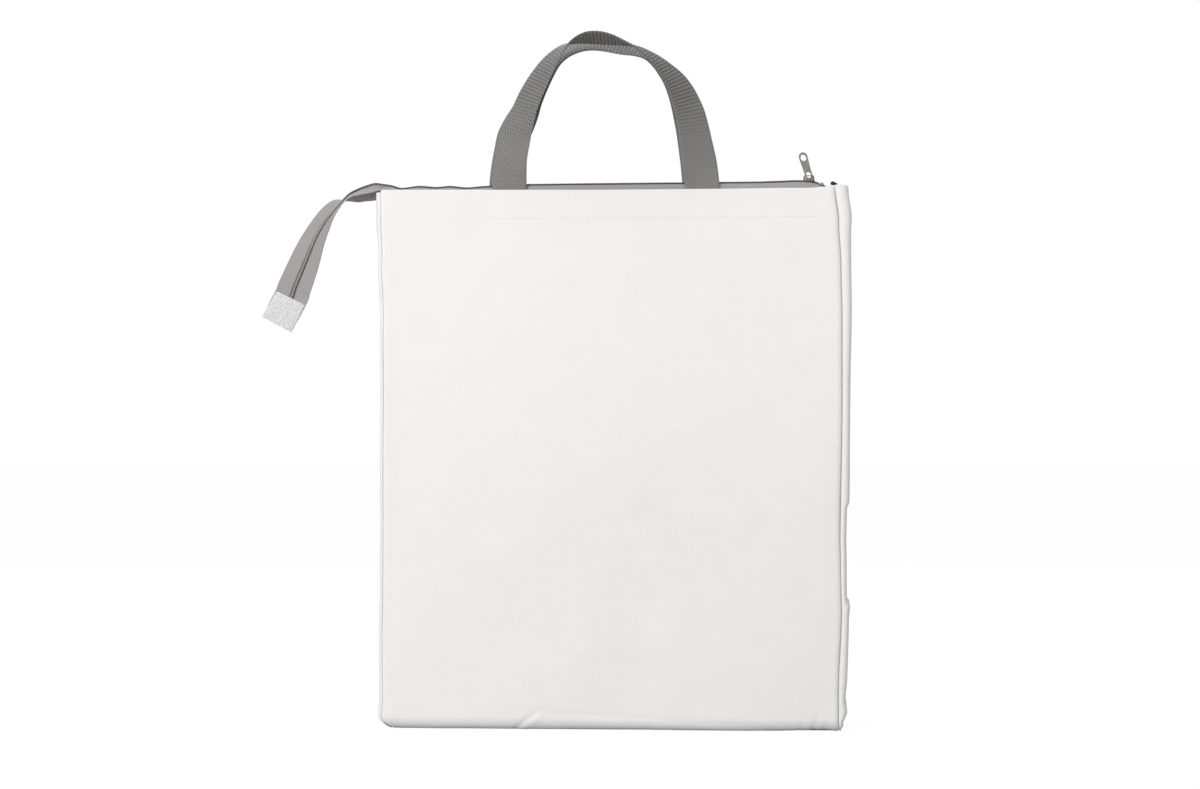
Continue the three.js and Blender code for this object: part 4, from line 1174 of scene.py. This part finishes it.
class BAG_OT_zip_coils(bpy.types.Operator):
    """Models the two rows of coil teeth along the ridge, locked into each other, and the end stop"""

    bl_idname = "bag.zip_coils"
    bl_label = "Zip Coils"

    def execute(self, context):
        pitch = context.scene.bag_zip.pitch / MM
        half = Vector((pitch * TOOTH_SIZE[0], *TOOTH_SIZE[1:])) / 2
        for side, word, start, turn in ((-1, "front", 0.25, 0.0), (1, "back", 0.75, math.pi)):
            places = []
            for i in range(int((ZIP_RIGHT - ZIP_LEFT) / pitch)):
                x = ZIP_LEFT + (i + start) * pitch
                shift = Matrix.Translation(Vector((x, side * TOOTH_Y, RIDGE_Z + ridge_at(x))) * MM)
                places.append(shift @ Matrix.Rotation(turn, 4, "Z"))
            # A tooth is narrower at its locking end
            tooth = block(-half, half, 0.2, 1, narrow_y=0.8)
            piece = copies_along(tooth, places, f"{word}_coil")
            settle(piece, "coil", "bag", [f"zip_coil_{word}"], 50)
        low, high = node_box("zip_end_stop")
        dip = Vector((0, 0, ridge_at(low.x)))
        stop = block(low + dip, high + dip, 0.35, 3)
        stop.name = "end_stop"
        settle(stop, "metal", "bag", ["zip_end_stop"])
        return {"FINISHED"}


class BAG_OT_slider(bpy.types.Operator):
    """Models the slider with its plates, flanges and bail, and the puller that hangs on it"""

    bl_idname = "bag.slider"
    bl_label = "Slider and Puller"

    def execute(self, context):
        for name, body, material, edge in (
            ("slider_body", "slider", "paint", 0.16),
            ("slider_puller", "puller", "metal", 0.14),
        ):
            piece = twin_of(frame["nodes"][name])
            piece.name = f"{name}_metal"
            piece.parent = None
            in_edit_mode(
                piece,
                (bpy.ops.mesh.remove_doubles, {"threshold": 1e-6}),
                (bpy.ops.mesh.dissolve_limited, {"angle_limit": math.radians(3)}),
                (bpy.ops.mesh.normals_make_consistent, {"inside": False}),
            )
            apply_modifier(piece, "BEVEL", width=edge * MM, segments=2, limit_method="ANGLE", angle_limit=0.6)
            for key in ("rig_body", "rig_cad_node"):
                if key in piece:
                    del piece[key]
            settle(piece, material, body, [name])
        # The bail is sheet metal: a low bridge and two cheeks fill its foot, clear of the puller's eye
        low, high = node_box("slider_body")
        bridge_top = high.z - 2.7
        cheek_low, cheek_top = bridge_top - 0.4, high.z - 0.9
        parts = [
            block((left, -half, bottom), (right, half, top), 0.25, 2, narrow_z=0.85)
            for left, right, bottom, top, half in (
                (low.x + 0.2, high.x - 0.2, high.z - 4.4, bridge_top, 1.5),
                (low.x + 0.1, low.x + 1.6, cheek_low, cheek_top, 0.9),
                (high.x - 1.6, high.x - 0.1, cheek_low, cheek_top, 0.9),
            )
        ]
        settle(join(parts, "slider_bridge"), "paint", "slider")
        return {"FINISHED"}


# Zip tail: shares of its reach and drop along the middle of the coil, and the degrees to which its halves turn
TAIL = [
    (0, 0, 55, -20), (0.08, 0, 55, -23), (0.16, 0.008, 58, -34), (0.235, 0.022, 64, -46),
    (0.318, 0.052, 70, -60), (0.373, 0.088, 72, -86), (0.425, 0.13, 70, -120), (0.5, 0.197, 64, -136),
    (0.578, 0.276, 53, -141), (0.658, 0.388, 42, -148), (0.752, 0.561, 21, -164), (0.845, 0.735, 6, -176),
    (0.874, 0.8, 2, -180), (1.01, 1, 0, -180),
]
TAIL_REACH = 77.0
TAIL_DROP = 101.0
TAIL_FORWARD = 6.0
# The tail starts clear of the zip's teeth, is led back into them, and lifts a little past the corner
TAIL_START = ZIP_LEFT - 2.5
TAIL_LEAD = 6.0
TAIL_LIFT = 1.5
TAB_LENGTH = 22.0
# Width of a half as shares of its whole width, by the run from the tail's start
TAIL_WIDENING = [(0, 0.55), (6, 0.7), (14, 1.0)]
# A half starts beside the chain's middle and behind its face, reaches past its own width, and ends in the tab
HALF_APART, HALF_SUNK, HALF_PAST = 0.2, 0.9, 2.3
HALF_SHORT_OF_TAB_END = 0.45
# How high the free edge of a half ripples, and how slowly
RIPPLE, RIPPLE_LENGTH = 0.3, 7
# Cords beside the chain's middle: distance from it, lift, half width, half height and depth of the ribs
TEETH = (0.45, 0.1, 0.5, 0.55, 0.25)
# The outer cords are dark stitch lines, partly painted shade where the coil meets the tape
STITCH_AND_SHADE_CORDS = (1.35, -0.15, 0.32, 0.5, 0.15)


def tail_stations(count):
    """Stations of the tail's coil: place, direction along, inward and forward, turns of the halves, run."""
    rows = [(TAIL_START + TAIL_LEAD, 0.0, RIDGE_Z + ridge_at(TAIL_START + TAIL_LEAD), *TAIL[0][2:])]
    for x_share, z_share, front, back in TAIL:
        rise = TAIL_LIFT * hump(x_share - 0.08, 0.1)
        x, y = TAIL_START - TAIL_REACH * x_share, -TAIL_FORWARD * x_share**2
        rows.append((x, y, RIDGE_Z - TAIL_DROP * z_share + rise, front, back))
    line, length = route(rows, count)
    stations = []
    for i, ((x, y, z, front, back), before, after) in enumerate(with_neighbours(line)):
        along = (Vector(after[:3]) - Vector(before[:3])).normalized()
        inward = Vector((-along.z, 0, along.x)).normalized()
        forward = along.cross(inward).normalized()
        turns = {1: math.radians(front), -1: math.radians(back)}
        stations.append((Vector((x, y, z)), along, inward, forward, turns, length * i / count))
    return stations, length


def coil_across(inward, forward, turns):
    """Direction across the coil, which halves the turns of the two tapes."""
    edge = (turns[1] + turns[-1] + math.pi) / 2
    return inward * math.cos(edge) + forward * math.sin(edge)


def settle_on_tail(piece, material, nodes=(), angle=50):
    """Settles a piece that leaves the bag's corner, with no body, and bakes its place into its mesh."""
    settle(piece, material, None, nodes, angle)
    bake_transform(piece)


class BAG_OT_zip_tail(bpy.types.Operator):
    """Models the end of the zip that runs out past the corner, twists and unfolds"""

    bl_idname = "bag.zip_tail"
    bl_label = "Zip Tail"

    def execute(self, context):
        sizes = context.scene.bag_zip
        count = 160
        stations, length = tail_stations(count)
        full = sizes.width / MM / 2 - COIL_OUT - GAP
        hold = 1 - TAB_LENGTH * HALF_SHORT_OF_TAB_END / length
        for side, word in ((1, "front"), (-1, "back")):

            def place(s, t, side=side):
                point, along, inward, forward, turns, run = stations[round(t * count * hold)]
                turn = turns[side]
                across = inward * math.cos(turn) + forward * math.sin(turn)
                through = along.cross(across).normalized()
                width = full * curve_at(TAIL_WIDENING, run)
                lift = RIPPLE * math.sin(run / RIPPLE_LENGTH + side) * s - side * HALF_SUNK * (1 - s)
                start = coil_across(inward, forward, turns) * (side * HALF_APART)
                return point + start + across * ((width + HALF_PAST) * s) + through * lift

            piece = surface(f"tail_{word}_half", 14, count, place, (full, length), sizes.tape / MM, 0)
            settle_on_tail(piece, "tape", [f"tail_tape_{word}"], 60)

        pitch = sizes.pitch / MM
        steps = 900
        stations, length = tail_stations(steps)
        end = int(steps * (1 - TAB_LENGTH / length))

        def cord(shift, lift, width, height, rib):
            """A cord beside the middle of the chain, ribbed by the turns of the coil."""

            def place(s, t):
                point, along, inward, forward, turns, run = stations[round(t * end)]
                across = coil_across(inward, forward, turns)
                through = along.cross(across).normalized()
                angle = 2 * math.pi * s
                swell = 1 - rib * (0.5 - 0.5 * math.cos(2 * math.pi * run / pitch))
                side_shift = shift + width * swell * math.cos(angle)
                return point + across * side_shift + through * (lift + height * swell * math.sin(angle))

            return sleeve("cord", 12, end, place, (2 * width, length))

        for name, material, nodes, (apart, *shape) in (
            ("tail_coil_teeth", "chain", ["tail_coil"], TEETH),
            # Dark cords: stitch lines and painted shade where the coil meets the tape
            ("tail_coil_stitches_and_shade", "coil", (), STITCH_AND_SHADE_CORDS),
        ):
            cords = join([cord(shift, *shape) for shift in (-apart, apart)], name)
            settle_on_tail(cords, material, nodes)
        return {"FINISHED"}


class BAG_OT_end_tab(bpy.types.Operator):
    """Models the cloth tab folded over the end of the tail and sewn round its edges"""

    bl_idname = "bag.end_tab"
    bl_label = "End Tab"

    def execute(self, context):
        count = 160
        stations, length = tail_stations(count)
        first = 1 - TAB_LENGTH / length
        width = context.scene.bag_zip.width / MM
        # The stitches run inside the edges and press the cloth in; it is thinnest at its ends
        seam_in, seam_width, seam_depth = 2.0, 0.5, 0.35
        thickness, thinnest = 1.35, 0.35

        def place(s, t):
            share = first + (1 - first) * t
            i = min(count, round(share * count))
            point, along, inward, _, _, _ = stations[i]
            point = point + along * (length * (share - i / count))
            face, way = on_flat(s)
            through = along.cross(inward).normalized()
            bed = (1 - abs(way) ** 10) ** 0.5
            ends = min(1.0, t * 14, (1 - t) * 9)
            stitched = seam_depth * hump((1 - abs(way)) * width / 2 - seam_in, seam_width)
            stitched += seam_depth * hump(t * TAB_LENGTH - seam_in, seam_width)
            stitched += 0.3 * hump((1 - t) * TAB_LENGTH - seam_in, seam_width)
            crinkle = 0.6 * rough(way * 3.6, t * 6, face * 4)
            crinkle += 0.75 * rough(way * 13, t * 13, face * 9)
            lift = bed * (max(thinnest, math.sqrt(max(0.0, ends))) * (thickness + crinkle * 1.2) - stitched)
            ragged = 0.5 * rough(way * 6, 2, 1) if t > 0.9 else 0.0
            side_wave = 0.3 * rough(t * 5, 0, 7)
            return point + inward * (way * (width / 2 + side_wave)) + through * (face * lift) + along * ragged

        piece = sleeve("tab_cloth", 96, 66, place, (2 * width, TAB_LENGTH))
        settle(piece, "tab", "zip_tail", ["tail_end_tab"], 70)
        return {"FINISHED"}


# Stage: lamps as (name, place, size and power), in metres and watts
LAMPS = (
    ("key_lamp", (-1.2, -2.5, 0.95), 1.2, 43.0),
    ("fill_lamp", (1.7, -1.7, 0.7), 1.8, 3.5),
    ("top_lamp", (-0.3, 0.5, 2.2), 1.4, 10.0),
    ("back_lamp", (-0.6, 2.2, 1.4), 1.6, 16.0),
)
LAMP_AIM = Vector((0, 0, 0.22))
VIEW_CENTRE = Vector((-0.007, -HALF_DEPTH * MM * 0.6, 0.2))
VIEW_SHIFT = 0.045
WORLD_LIGHT = 0.5
# The camera sees this share of the floor as plain white, and the rest with its shadows
FLOOR_SEEN_WHITE = 0.82
FLOOR_GLOW = 1.15


class BAG_OT_stage(bpy.types.Operator):
    """Sets a white floor, soft studio lamps and the camera"""

    bl_idname = "bag.stage"
    bl_label = "Stage"

    def execute(self, context):
        sizes = context.scene.bag_stage
        floor = add_mesh(bpy.ops.mesh.primitive_plane_add, size=60, location=(0, 0, 0))
        floor.name = "floor"
        material = new_material("white_floor", painted_floor)
        tree = material.node_tree
        glow = add_node(tree, "Emission", {"Color": shade(sizes.floor), "Strength": FLOOR_GLOW})
        seen = add_node(tree, "LightPath", {}, "Is Camera Ray")
        share = add_node(tree, "Math", {0: seen, 1: FLOOR_SEEN_WHITE}, operation="MULTIPLY")
        paint = tree.nodes["Principled BSDF"].outputs[0]
        mix = add_node(tree, "MixShader", {0: share, 1: paint, 2: glow})
        set_inputs(tree, tree.nodes["Material Output"], {0: mix})
        floor.data.materials.append(material)

        world = bpy.data.worlds.new("white_studio")
        world.use_nodes = True
        context.scene.world = world
        tree = world.node_tree
        seen = add_node(tree, "LightPath", {}, "Is Camera Ray")
        for ray in ("Is Glossy Ray", "Is Transmission Ray"):
            either = {0: seen, 1: add_node(tree, "LightPath", {}, ray)}
            seen = add_node(tree, "Math", either, operation="MAXIMUM")
        strength = add_node(tree, "MapRange", {0: seen, 3: WORLD_LIGHT})
        set_inputs(tree, tree.nodes["Background"], {0: (1, 1, 1, 1), 1: strength})

        for name, place, size, power in LAMPS:
            bpy.ops.object.light_add(type="AREA", location=place)
            lamp = bpy.context.object
            lamp.name = name
            lamp.data.shape = "SQUARE"
            lamp.data.size = size
            lamp.data.energy = power
            lamp.rotation_euler = (LAMP_AIM - Vector(place)).to_track_quat("-Z", "Y").to_euler()

        away = Vector((math.sin(sizes.azimuth), -math.cos(sizes.azimuth), 0))
        bpy.ops.object.camera_add(location=VIEW_CENTRE + away * sizes.distance)
        camera = bpy.context.object
        camera.name = "camera"
        camera.data.lens = sizes.lens
        camera.data.sensor_width = 36
        camera.data.shift_y = VIEW_SHIFT
        camera.rotation_euler = (math.pi / 2, 0, sizes.azimuth)
        context.scene.camera = camera
        context.scene.view_settings.view_transform = "Standard"
        return {"FINISHED"}


STEPS = (
    BAG_OT_stage,
    BAG_OT_cloth_walls,
    BAG_OT_cloth_sides,
    BAG_OT_side_seams,
    BAG_OT_corner_folds,
    BAG_OT_lining,
    BAG_OT_hem_stitches,
    BAG_OT_handles,
    BAG_OT_zip_tapes,
    BAG_OT_zip_coils,
    BAG_OT_slider,
    BAG_OT_zip_tail,
    BAG_OT_end_tab,
)
GROUPS = (
    ("bag_cloth", BagClothSizes),
    ("bag_handles", BagHandleSizes),
    ("bag_zip", BagZipSizes),
    ("bag_stage", BagStageSizes),
)


class BAG_PT_panel(bpy.types.Panel):
    """Lists the sizes and the pieces of the bag"""

    bl_idname = "BAG_PT_panel"
    bl_label = "Insulated Bag"
    bl_space_type = "VIEW_3D"
    bl_region_type = "UI"
    bl_category = "Bag"

    def draw(self, context):
        for name, group in GROUPS:
            box = self.layout.box()
            for key in group.__annotations__:
                box.prop(getattr(context.scene, name), key)
        for step in STEPS:
            self.layout.operator(step.bl_idname)


def register():
    for name, group in GROUPS:
        bpy.utils.register_class(group)
        setattr(bpy.types.Scene, name, PointerProperty(type=group))
    for step in STEPS:
        bpy.utils.register_class(step)
    bpy.utils.register_class(BAG_PT_panel)


def unregister():
    bpy.utils.unregister_class(BAG_PT_panel)
    for step in reversed(STEPS):
        bpy.utils.unregister_class(step)
    for name, group in reversed(GROUPS):
        delattr(bpy.types.Scene, name)
        bpy.utils.unregister_class(group)


def main():
    register()
    make_materials(bpy.context.scene)
    for step in STEPS:
        group, name = step.bl_idname.split(".")
        getattr(getattr(bpy.ops, group), name)()


if __name__ == "__main__":
    main()
